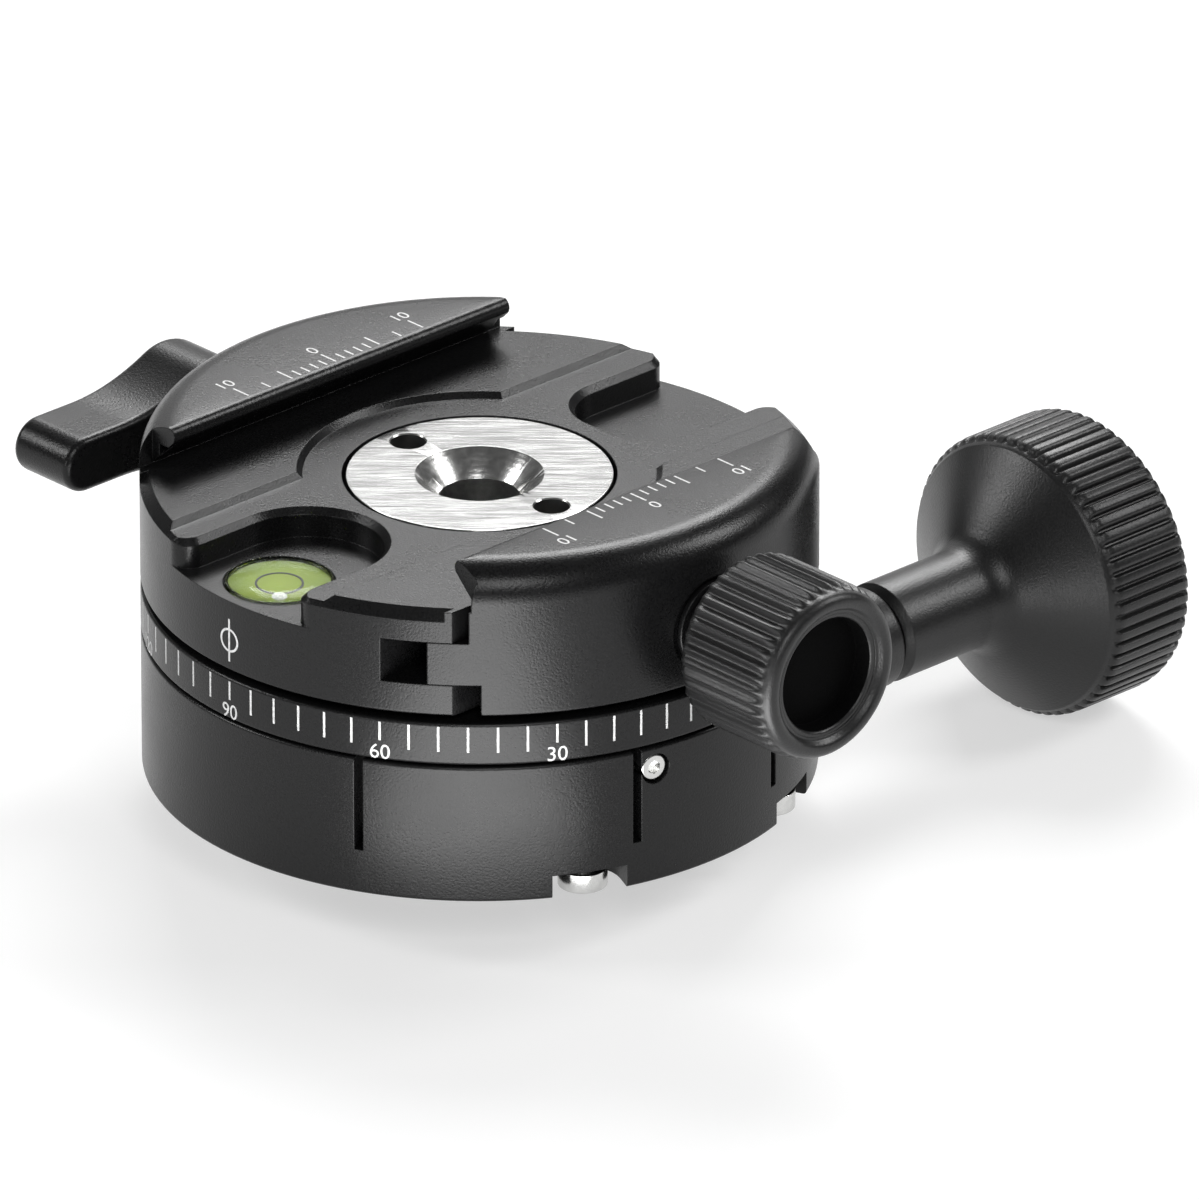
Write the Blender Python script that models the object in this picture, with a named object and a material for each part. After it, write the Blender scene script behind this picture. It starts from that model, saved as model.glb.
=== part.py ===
"""A round geared panning base for a tripod, with a dovetail quick-release clamp on top.

Metres, +Z up. The origin is on the pan axis, on the base's bottom face. +X runs along the
clamp jaws towards the worm knob, -Y points to the clamp knob and +Y to the lock lever.
"""

import math

import bmesh
import bpy
from mathutils import Matrix, Vector

MM = 0.001

# Clearances
FIT = 0.2 * MM
SEAT_GAP = 0.3 * MM
RUNNING_FIT = 0.08 * MM
SLIDE_FIT = 0.06 * MM
OVERRUN = 2.0 * MM
MERGE_DISTANCE = 0.0002 * MM
HAIRLINE = 0.02 * MM

# Worm drive: a single start worm under a sixty tooth wheel, six degrees a turn
TEETH = 60
MODULE = 0.46667 * MM
WORM_PITCH_RADIUS = 2.6 * MM
WORM_HEIGHT = 7.1 * MM
SLEEVE_RADIUS = 4.4 * MM
BACKLASH = 0.2 * MM
WHEEL_FACE = 4.3 * MM
WHEEL_SHOULDER = 0.2 * MM
THREAD_TURNS = 5
THREAD_STEPS = 12
ADDENDUM_SHARE = 1.0
DEDENDUM_SHARE = 1.4
PRESSURE_ANGLE = math.radians(20)

# Body: three stacked rounds of one diameter, which cover the worm and its sleeve
WORM_COVER = 11.8999 * MM
SLEEVE_COVER = 0.8 * MM
DIAL_SEAM = 0.2 * MM
DIAL_HEIGHT = 3.8 * MM
HEAD_SEAM = 0.7 * MM
BED_THICKNESS = 9.0 * MM
STRIP_STEP = 0.5 * MM
JAW_RISE = 3.9 * MM
WHEEL_PITCH_RADIUS = MODULE * TEETH / 2
WORM_OFFSET = WHEEL_PITCH_RADIUS + WORM_PITCH_RADIUS
SLEEVE_BORE_RADIUS = SLEEVE_RADIUS + FIT / 2
BODY_RADIUS = WORM_OFFSET + WORM_COVER
BASE_HEIGHT = WORM_HEIGHT + SLEEVE_BORE_RADIUS + SLEEVE_COVER
DIAL_BOTTOM = BASE_HEIGHT + DIAL_SEAM
DIAL_TOP = DIAL_BOTTOM + DIAL_HEIGHT
HEAD_BOTTOM = DIAL_TOP + HEAD_SEAM
BED = HEAD_BOTTOM + BED_THICKNESS
STRIP = BED + STRIP_STEP
JAW_TOP = STRIP + JAW_RISE

# Gear wheel body
SPINDLE_RADIUS = 7.6 * MM
GEAR_BUSH_SPACE = 1.7 * MM
GEAR_HUB_STEP = 0.246762 * MM
DIAL_WALL = 7.5 * MM
GEAR_FLANGE_THICKNESS = 3.6 * MM
DRUM_WALL = 2.1 * MM
DRUM_HEIGHT = 2.3 * MM
HEAD_BUSH_WALL = 1.2 * MM
HEAD_BOSS_WALL = 1.34 * MM
HEAD_WASHER_WIDTH = 3.6 * MM
CAVITY_WALL_GAP = 0.6 * MM
WHEEL_TIP_RADIUS = WHEEL_PITCH_RADIUS + MODULE * ADDENDUM_SHARE
WHEEL_ROOT_RADIUS = WHEEL_PITCH_RADIUS - MODULE * DEDENDUM_SHARE
GEAR_HUB_RADIUS = WHEEL_ROOT_RADIUS - GEAR_HUB_STEP
GEAR_BORE_RADIUS = SPINDLE_RADIUS + GEAR_BUSH_SPACE
GEAR_FLANGE_RADIUS = BODY_RADIUS - DIAL_WALL
HEAD_BORE_RADIUS = SPINDLE_RADIUS + RUNNING_FIT + HEAD_BUSH_WALL + RUNNING_FIT
HEAD_BOSS_RADIUS = HEAD_BORE_RADIUS + HEAD_BOSS_WALL
DRUM_INNER_RADIUS = HEAD_BOSS_RADIUS + CAVITY_WALL_GAP
DRUM_RADIUS = DRUM_INNER_RADIUS + DRUM_WALL
CAVITY_RADIUS = DRUM_RADIUS + CAVITY_WALL_GAP
HEAD_WASHER_RADIUS = CAVITY_RADIUS + SEAT_GAP + HEAD_WASHER_WIDTH

# Base housing
WHEEL_CHAMBER_GAP = 0.7 * MM
PLATE_LEDGE = 8.0 * MM
PLATE_RADIUS = BODY_RADIUS - PLATE_LEDGE
PLATE_THICKNESS = 2.2 * MM
HOUSING_BOTTOM_CHAMFER = 0.25 * MM
HOUSING_TOP_CHAMFER = 0.3 * MM
WORM_BORE_GAP = 0.5 * MM
WORM_BORE_END = 13.4 * MM
SLIT_WIDTH = 0.8 * MM
SLIT_DEPTH = 2.6 * MM
SLIT_FOOT = 4.0 * MM
SLIT_ANGLES = (-153.8, -105.7, -73.7)
NOTCH_ANGLES = (-114.2, -65.8)
NOTCH_WIDTH = 6.6 * MM
NOTCH_HEIGHT = 2.1 * MM
NOTCH_SCREW_INSET = 2.1 * MM
NOTCH_CENTRE_RADIUS = BODY_RADIUS - NOTCH_SCREW_INSET
NOTCH_HEAD_RADIUS = 2.1 * MM
NOTCH_HEAD_HEIGHT = 1.7 * MM
NOTCH_SHANK_RADIUS = 1.1 * MM
NOTCH_SHANK_LENGTH = 4.6 * MM
MESH_SCREW_ANGLE = -102.2
MESH_SCREW_DROP = 2.0 * MM
MESH_SCREW_HEIGHT = BASE_HEIGHT - MESH_SCREW_DROP
MESH_SCREW_RADIUS = 1.2 * MM
MESH_SCREW_LENGTH = 5.0 * MM
MESH_SCREW_SUNK = 0.25 * MM

# Spindle and its tripod socket
SPINDLE_BOSS_RADIUS = 7.0 * MM
SPINDLE_BORE_RADIUS = 5.5 * MM
TRIPOD_SOCKET_RADIUS = 4.3 * MM
TRIPOD_SOCKET_DEPTH = 10.0 * MM
SPINDLE_WEB = 2.5 * MM
LOWER_WASHER = 0.35 * MM

# Small screws that hold the base together
SCREW_HEAD_RADIUS = 2.2 * MM
SCREW_HEAD_HEIGHT = 1.2 * MM
SCREW_SHANK_RADIUS = 1.1 * MM
SCREW_LENGTH = 5.4 * MM
SPINDLE_SCREW_LENGTH = 3.4 * MM
SCREW_SOCKET_RADIUS = 0.8 * MM
SCREW_SOCKET_DEPTH = 0.7 * MM
PLATE_SCREW_INSET = 2.5 * MM
PLATE_SCREW_CIRCLE = PLATE_RADIUS - PLATE_SCREW_INSET
PLATE_SCREW_ANGLES = (5, 90, 175)
SPINDLE_SCREW_OFFSET = 3.2 * MM
SPINDLE_FLANGE_RIM = 2.4 * MM
SPINDLE_SCREW_CIRCLE = SPINDLE_BOSS_RADIUS + SPINDLE_SCREW_OFFSET
SPINDLE_FLANGE_RADIUS = SPINDLE_SCREW_CIRCLE + SPINDLE_FLANGE_RIM
SPINDLE_SCREW_ANGLES = (60, 180, 300)
DIAL_SCREW_INSET = 3.9 * MM
DIAL_SCREW_CIRCLE = BODY_RADIUS - DIAL_SCREW_INSET
DIAL_SCREW_ANGLES = (30, 150, 270)

# Thrust washer between the housing and the gear flange
THRUST_INNER_RADIUS = 15.6 * MM
THRUST_THICKNESS = 1.0 * MM

# Degree ring
DIAL_INNER_GAP = 0.5 * MM
DIAL_CHAMFER = 0.35 * MM

# Worm shaft, sleeve and the large knob, stations along +X
SHAFT_RADIUS = 2.0 * MM
COLLAR_RADIUS = 2.9 * MM
COLLAR_WIDTH = 1.2 * MM
COLLAR_START = 7.2 * MM
SLEEVE_SHOULDER = 16.4 * MM
SLEEVE_PROUD = 1.1 * MM
END_BUSH_LENGTH = 4.4 * MM
STEM_RADIUS = 4.375 * MM
STEM_GAP = 0.5 * MM
STEM_LENGTH = 10.3 * MM
STEM_CHAMFER = 0.5 * MM
SHAFT_IN_BELL = 3.6 * MM
BELL_FOOT_RADIUS = 5.4 * MM
BELL_FOOT_LENGTH = 1.5 * MM
BELL_LENGTH = 4.4 * MM
BELL_RIM_STEP = 0.85 * MM
KNURL_SHOULDER = 0.7 * MM
KNURL_LENGTH = 8.7 * MM
WORM_KNOB_RADIUS = 12.55 * MM
SLEEVE_END = BODY_RADIUS + SLEEVE_PROUD
STEM_START = SLEEVE_END + STEM_GAP
BELL_START = STEM_START + STEM_LENGTH
SHAFT_END = BELL_START + SHAFT_IN_BELL
BELL_FOOT_STATION = BELL_START + BELL_FOOT_LENGTH
BELL_RIM_STATION = BELL_FOOT_STATION + BELL_LENGTH
BELL_RIM_RADIUS = WORM_KNOB_RADIUS - BELL_RIM_STEP
WORM_KNURL_START = BELL_RIM_STATION + KNURL_SHOULDER
WORM_KNOB_END = WORM_KNURL_START + KNURL_LENGTH
WORM_KNOB_FLUTES = 48
FLUTE_DEPTH = 0.55 * MM
KNURL_CHAMFER = 0.5 * MM
KNOB_RIM_WALL = 3.55 * MM
KNOB_CAP_RADIUS = WORM_KNOB_RADIUS - KNOB_RIM_WALL
KNOB_CAP_THICKNESS = 1.0 * MM
KNOB_SCREW_RECESS = 2.4 * MM
KNOB_SCREW_HEAD_RADIUS = 2.8 * MM
KNOB_SCREW_HEAD_HEIGHT = 1.8 * MM
KNOB_SCREW_SHANK_RADIUS = 1.2 * MM
KNOB_SCREW_REACH = 6.0 * MM

# Upper body
TOP_FILLET = 3.2 * MM
RIM_CHAMFER = 0.9 * MM
LOWER_EDGE_CHAMFER = 0.25 * MM
RECESS_HALF_WIDTH = 9.7 * MM
RECESS_ARC_RADIUS = 15.1 * MM
WASHER_RECESS = 0.5 * MM
VIAL_RADIUS = 4.6 * MM
LEVEL_POCKET_ROOM = 1.9 * MM
LEVEL_POCKET_HALF_WIDTH = VIAL_RADIUS + LEVEL_POCKET_ROOM
POCKET_DEPTH = 2.6 * MM
POCKET_BEVEL = 0.55 * MM
POCKET_MOUTH_ROUND = 1.6 * MM
HUB_WASHER_WIDTH = 3.05 * MM
DISC_GAP = 0.3 * MM
LEVEL_POCKET_WALL = 1.65 * MM
PLAIN_POCKET_WALL = 2.35 * MM
HUB_WASHER_BORE_RADIUS = SPINDLE_RADIUS + SEAT_GAP
HUB_WASHER_RADIUS = HUB_WASHER_BORE_RADIUS + HUB_WASHER_WIDTH
DISC_RADIUS = HUB_WASHER_RADIUS + SEAT_GAP
DISC_RECESS_RADIUS = DISC_RADIUS + DISC_GAP
LEVEL_POCKET_START = DISC_RECESS_RADIUS + LEVEL_POCKET_WALL
PLAIN_POCKET_START = DISC_RECESS_RADIUS + PLAIN_POCKET_WALL
PLAIN_POCKET_HALF_WIDTH = 6.0 * MM
PLAIN_POCKET_ROUND = 4.8 * MM
SLOT_FOOT = 2.8 * MM
SLOT_HEIGHT = 3.9 * MM
SLOT_DEPTH = 4.9 * MM
SLOT_START_X = 8.0 * MM

# Dovetail lips, for the fixed jaw; the sum locates the 45 degree flank
LIP_TIP_Y = 16.83 * MM
LIP_TIP_RADIUS = 0.8 * MM
LIP_OVERHANG = 2.77 * MM
FACE_INSET = 0.4 * MM
LIP_HALF_LENGTH = 19.2 * MM
LIP_ROOT_Y = LIP_TIP_Y + LIP_OVERHANG
FLANK_SUM = LIP_ROOT_Y + STRIP
BODY_FACE_Y = LIP_ROOT_Y - FACE_INSET
SLOT_END_Y = BODY_FACE_Y - SLOT_DEPTH

# Hub disc
DISC_THICKNESS = 1.9 * MM
DISC_SPIGOT_RADIUS = SPINDLE_BORE_RADIUS - SEAT_GAP
DISC_SPIGOT_LENGTH = 8.0 * MM
CENTRE_HOLE_RADIUS = 3.4 * MM
COUNTERSINK_DEPTH = 2.05 * MM
COUNTERSINK_RADIUS = CENTRE_HOLE_RADIUS + COUNTERSINK_DEPTH
PIN_HOLE_RADIUS = 1.5 * MM
PIN_HOLE_INSET = 2.45 * MM
PIN_HOLE_OFFSET = DISC_RADIUS - PIN_HOLE_INSET
HUB_WASHER = 0.5 * MM

# Bubble level
VIAL_INSET = 5.7 * MM
VIAL_CENTRE_X = VIAL_INSET - BODY_RADIUS
VIAL_DEPTH = 4.8 * MM
VIAL_PROUD = 0.2 * MM
VIAL_DOME = 0.25 * MM

# Sliding jaw, drawn 0.74 mm open
JAW_OPEN = 0.74 * MM
JAW_UPPER_GAP = 1.0 * MM
JAW_LOWER_GAP = 1.7 * MM
TONGUE_REACH = 1.6 * MM
CLAMP_RISE = 4.9 * MM
CLAMP_HEIGHT = HEAD_BOTTOM + CLAMP_RISE
CLAMP_SCREW_RADIUS = 2.0 * MM
CLAMP_BORE_RADIUS = 2.3 * MM
CLAMP_SCREW_GRIP = 6.3 * MM
CLAMP_SCREW_ROOM = 1.0 * MM
CLAMP_SCREW_TIP_Y = BODY_FACE_Y - CLAMP_SCREW_GRIP
CLAMP_BORE_END_Y = CLAMP_SCREW_TIP_Y - CLAMP_SCREW_ROOM
SPRING_X = 5.6 * MM
SPRING_POCKET_RADIUS = 1.7 * MM
SPRING_COIL_RADIUS = 1.1 * MM
SPRING_WIRE_RADIUS = 0.25 * MM
SPRING_TURNS = 5
SPRING_STEPS = 7
SPRING_WIRE_SIDES = 3
SPRING_BODY_DEPTH = 6.2 * MM
SPRING_BODY_END_Y = BODY_FACE_Y - SPRING_BODY_DEPTH
SPRING_JAW_DEPTH = 3.2 * MM
PIN_X = 10.0 * MM
GUIDE_PIN_RADIUS = 1.25 * MM
GUIDE_PIN_GRIP = 8.4 * MM
GUIDE_PIN_COVER = 2.9 * MM
SPOT_FACE_RADIUS = 4.3 * MM
SPOT_FACE_DEPTH = 0.6 * MM
SPOT_FACE_Y = BODY_RADIUS - SPOT_FACE_DEPTH
GUIDE_PIN_INNER_Y = BODY_FACE_Y - GUIDE_PIN_GRIP
GUIDE_PIN_OUTER_Y = SPOT_FACE_Y - GUIDE_PIN_COVER

# Clamp knob, stations along -Y
CLAMP_WASHER_RADIUS = 3.9 * MM
CLAMP_WASHER_THICKNESS = 0.5 * MM
CLAMP_COLLAR_RADIUS = 3.7 * MM
CLAMP_KNOB_RADIUS = 7.7 * MM
CLAMP_COLLAR_LENGTH = 4.2 * MM
CLAMP_KNURL_LENGTH = 10.7 * MM
CLAMP_KNURL_START = SPOT_FACE_Y + CLAMP_COLLAR_LENGTH
CLAMP_KNOB_END = CLAMP_KNURL_START + CLAMP_KNURL_LENGTH
CLAMP_KNOB_ROUND = 1.1 * MM
CLAMP_KNOB_FLUTES = 32
CLAMP_DISH_RADIUS = 5.4 * MM
CLAMP_DISH_DEPTH = 2.4 * MM
CLAMP_SCREW_IN_KNOB = 5.0 * MM

# Lock lever, stations along +Y
LOCK_RISE = 3.2 * MM
LEVER_HEIGHT = HEAD_BOTTOM + LOCK_RISE
LEVER_GAP = 0.3 * MM
LEVER_NECK_LENGTH = 4.0 * MM
LEVER_NECK_START = BODY_RADIUS + LEVER_GAP
LEVER_START = LEVER_NECK_START + LEVER_NECK_LENGTH
LEVER_WIDTH = 7.0 * MM
LEVER_HUB_RADIUS = 4.9 * MM
LEVER_REACH = 16.95 * MM
LEVER_HALF_THICKNESS = 2.45 * MM
LEVER_BLEND_START = 2.0 * MM
LEVER_BLEND_END = 10.5 * MM
LEVER_EDGE_ROUND = 0.6 * MM
LEVER_NECK_RADIUS = 4.0 * MM
LOCK_SCREW_RADIUS = 2.3 * MM
LOCK_BORE_GAP = 0.3 * MM
LOCK_SCREW_IN_LEVER = 4.0 * MM
LEVER_SCREW_RECESS = 1.6 * MM
LEVER_SCREW_HEAD_RADIUS = 2.6 * MM
LEVER_SCREW_SHANK_RADIUS = 1.1 * MM
LEVER_SCREW_REACH = 4.0 * MM
SHOE_HALF_WIDTH = 3.0 * MM
SHOE_LENGTH = 5.2 * MM
SHOE_TOP_ABOVE_HEAD_BOTTOM = 5.2 * MM
SHOE_LIFT = 0.75 * MM

# Facet counts
LARGE_STEPS = 48
DISC_STEPS = 36
MEDIUM_STEPS = 24
SMALL_STEPS = 12
TINY_STEPS = 8
ARC_STEPS = 4

# Levels and places worked out from the sizes above
WORM_TIP_RADIUS = WORM_PITCH_RADIUS + MODULE * ADDENDUM_SHARE
WORM_ROOT_RADIUS = WORM_PITCH_RADIUS - MODULE * DEDENDUM_SHARE
WORM_LEAD = math.pi * MODULE
LEAD_ANGLE = math.atan2(WORM_LEAD, 2 * math.pi * WORM_PITCH_RADIUS)

GEAR_BOTTOM = WORM_HEIGHT - WHEEL_FACE / 2 - WHEEL_SHOULDER
GEAR_TOP = DIAL_TOP + FIT
GEAR_FLANGE_BOTTOM = GEAR_TOP - GEAR_FLANGE_THICKNESS
DRUM_TOP = GEAR_TOP + DRUM_HEIGHT
CAVITY_TOP = DRUM_TOP + SEAT_GAP
THRUST_SEAT = GEAR_FLANGE_BOTTOM - THRUST_THICKNESS - 2 * FIT
DIAL_INNER_RADIUS = GEAR_FLANGE_RADIUS + DIAL_INNER_GAP
THRUST_OUTER_RADIUS = GEAR_FLANGE_RADIUS - FIT
PLATE_RECESS_RADIUS = PLATE_RADIUS + SEAT_GAP
PLATE_RECESS_DEPTH = PLATE_THICKNESS + SEAT_GAP
WHEEL_CHAMBER_RADIUS = WHEEL_TIP_RADIUS + WHEEL_CHAMBER_GAP
WORM_BORE_RADIUS = WORM_TIP_RADIUS + WORM_BORE_GAP
FLANGE_TOP = GEAR_BOTTOM - LOWER_WASHER - 2 * FIT
FLANGE_BOTTOM = PLATE_THICKNESS + FIT

DISC_BOTTOM = BED - DISC_THICKNESS
HUB_RECESS_FLOOR = DISC_BOTTOM - HUB_WASHER - 2 * FIT
SPINDLE_TOP = HUB_RECESS_FLOOR - FIT
POCKET_FLOOR = BED - POCKET_DEPTH
SLOT_BOTTOM = HEAD_BOTTOM + SLOT_FOOT
SLOT_TOP = SLOT_BOTTOM + SLOT_HEIGHT
SHOE_TOP = HEAD_BOTTOM + SHOE_TOP_ABOVE_HEAD_BOTTOM
SHOE_BOTTOM = HEAD_BOTTOM + SHOE_LIFT
SHOE_FRONT_RADIUS = DRUM_RADIUS + SEAT_GAP
LOCK_SCREW_TIP = SHOE_FRONT_RADIUS + SHOE_LENGTH + SEAT_GAP

COLOURS = {
    "black_anodised": ((0.022, 0.022, 0.024, 1.0), 0.85, 0.42),
    "bright_steel": ((0.62, 0.62, 0.60, 1.0), 1.0, 0.28),
    "spring_steel": ((0.42, 0.42, 0.42, 1.0), 1.0, 0.35),
    "bronze": ((0.50, 0.33, 0.14, 1.0), 1.0, 0.38),
    "nylon": ((0.75, 0.74, 0.70, 1.0), 0.0, 0.55),
    "vial_green": ((0.55, 0.68, 0.12, 1.0), 0.0, 0.12),
}


def clear_scene():
    """Start from an empty scene."""
    for old in list(bpy.data.objects):
        bpy.data.objects.remove(old)


def material(finish):
    """The Principled material of one finish, made the first time it is asked for."""
    if finish in bpy.data.materials:
        return bpy.data.materials[finish]
    colour, metallic, roughness = COLOURS[finish]
    made = bpy.data.materials.new(finish)
    made.use_nodes = True
    shader = made.node_tree.nodes["Principled BSDF"]
    shader.inputs["Base Color"].default_value = colour
    shader.inputs["Metallic"].default_value = metallic
    shader.inputs["Roughness"].default_value = roughness
    made.diffuse_color = colour
    return made


def add_object(name, shape, finish=None):
    """Turn a bmesh into an object; one without a finish is a hidden cutter."""
    bmesh.ops.recalc_face_normals(shape, faces=shape.faces)
    mesh = bpy.data.meshes.new(name)
    shape.to_mesh(mesh)
    shape.free()
    piece = bpy.data.objects.new(name, mesh)
    bpy.context.scene.collection.objects.link(piece)
    if finish is None:
        piece.display_type = "WIRE"
        piece.hide_render = True
        return piece
    mesh.materials.append(material(finish))
    mesh.shade_smooth()
    mesh.set_sharp_from_angle(angle=math.radians(30))
    return piece


def combine(target, other, operation="DIFFERENCE"):
    """Cut, join or intersect a piece with a hidden shape; cuts that follow on share a modifier."""
    last = target.modifiers[-1] if target.modifiers else None
    if operation == "DIFFERENCE" and last and last.operation == "DIFFERENCE":
        last.collection.objects.link(other)
        return target
    modifier = target.modifiers.new(other.name, "BOOLEAN")
    modifier.operation = operation
    modifier.solver = "EXACT"
    if operation == "DIFFERENCE":
        modifier.operand_type = "COLLECTION"
        modifier.collection = bpy.data.collections.new(f"{target.name}_cuts")
        modifier.collection.objects.link(other)
    else:
        modifier.object = other
    return target


def along(axis, origin):
    """The matrix that lays local +Z along +X, +Y, -Y or +Z from an origin."""
    turns = {
        "+X": Matrix.Rotation(math.pi / 2, 4, "Y"),
        "+Y": Matrix.Rotation(-math.pi / 2, 4, "X"),
        "-Y": Matrix.Rotation(math.pi / 2, 4, "X"),
        "+Z": Matrix.Identity(4),
    }
    return Matrix.Translation(Vector(origin)) @ turns[axis]


def turned(name, outline, segments, finish=None, axis="+Z", origin=(0, 0, 0)):
    """A lathe-turned piece: a closed outline of radius and station, spun round its axis."""
    shape = bmesh.new()
    corners = [shape.verts.new((radius, 0, station)) for radius, station in outline]
    edges = []
    for corner, after in zip(corners, corners[1:] + corners[:1]):
        if corner.co.x > 0 or after.co.x > 0:
            edges.append(shape.edges.new((corner, after)))
    bmesh.ops.spin(
        shape,
        geom=corners + edges,
        angle=2 * math.pi,
        steps=segments,
        axis=(0, 0, 1),
        cent=(0, 0, 0),
        use_merge=True,
    )
    bmesh.ops.remove_doubles(shape, verts=shape.verts, dist=MERGE_DISTANCE)
    piece = add_object(name, shape, finish)
    piece.matrix_world = along(axis, origin)
    return piece


def extruded(name, outline, direction, finish=None):
    """A flat outline of 3D points pushed along a direction."""
    shape = bmesh.new()
    face = shape.faces.new([shape.verts.new(point) for point in outline])
    pushed = bmesh.ops.extrude_face_region(shape, geom=[face])
    moved = [item for item in pushed["geom"] if isinstance(item, bmesh.types.BMVert)]
    bmesh.ops.translate(shape, verts=moved, vec=direction)
    return add_object(name, shape, finish)


def lofted(name, lower, upper, finish=None):
    """A closed solid between two outlines with the same number of points."""
    shape = bmesh.new()
    low = [shape.verts.new(point) for point in lower]
    high = [shape.verts.new(point) for point in upper]
    bridge(shape, [low, high])
    return add_object(name, shape, finish)


def bridge(shape, rings):
    """Close a stack of rings with the same number of points: sides and two caps."""
    shape.faces.new(rings[0])
    shape.faces.new(rings[-1])
    for lower, upper in zip(rings, rings[1:]):
        for index in range(len(lower)):
            after = (index + 1) % len(lower)
            shape.faces.new((lower[index], lower[after], upper[after], upper[index]))


def drill(target, name, radius, start, end, axis, origin, segments=SMALL_STEPS):
    """Cut a round hole between two stations of an axis."""
    outline = [(0, start), (radius, start), (radius, end), (0, end)]
    cutter = turned(name, outline, segments, None, axis, origin)
    return combine(target, cutter)


def arc(centre, radius, start, end, steps=ARC_STEPS):
    """Points on a circle between two angles in degrees, both ends included."""
    points = []
    for step in range(steps + 1):
        angle = math.radians(start + (end - start) * step / steps)
        points.append((centre[0] + radius * math.cos(angle), centre[1] + radius * math.sin(angle)))
    return points


def on_circle(radius, degrees, height=0.0):
    """A point at a radius and an angle round the pan axis."""
    angle = math.radians(degrees)
    return (radius * math.cos(angle), radius * math.sin(angle), height)


def knurl_outline(radius, flutes):
    """The star outline of a straight knurl: a crest and a valley for each flute."""
    points = []
    for flute in range(flutes):
        crest = 360 * flute / flutes
        points.append(on_circle(radius, crest))
        points.append(on_circle(radius - FLUTE_DEPTH, crest + 180 / flutes))
    return points


def knurled_band(name, radius, flutes, start, end, axis, origin):
    """A band with straight flutes and chamfered ends, laid along an axis."""
    shape = bmesh.new()
    stations = (
        (start, radius - KNURL_CHAMFER),
        (start + KNURL_CHAMFER, radius),
        (end - KNURL_CHAMFER, radius),
        (end, radius - KNURL_CHAMFER),
    )
    rings = []
    for station, ring_radius in stations:
        scale = ring_radius / radius
        ring = [(x * scale, y * scale, station) for x, y, z in knurl_outline(radius, flutes)]
        rings.append([shape.verts.new(point) for point in ring])
    bridge(shape, rings)
    band = add_object(name, shape)
    band.matrix_world = along(axis, origin)
    return band


def machine_screw(name, head_radius, head_height, shank_radius, length, axis, origin):
    """A socket head screw whose head starts at the origin and whose shank runs along the axis."""
    outline = [
        (0, SCREW_SOCKET_DEPTH),
        (SCREW_SOCKET_RADIUS, SCREW_SOCKET_DEPTH),
        (SCREW_SOCKET_RADIUS, 0),
        (head_radius, 0),
        (head_radius, head_height),
        (shank_radius, head_height),
        (shank_radius, length),
        (0, length),
    ]
    return turned(name, outline, TINY_STEPS, "bright_steel", axis, origin)


# Base


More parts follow.
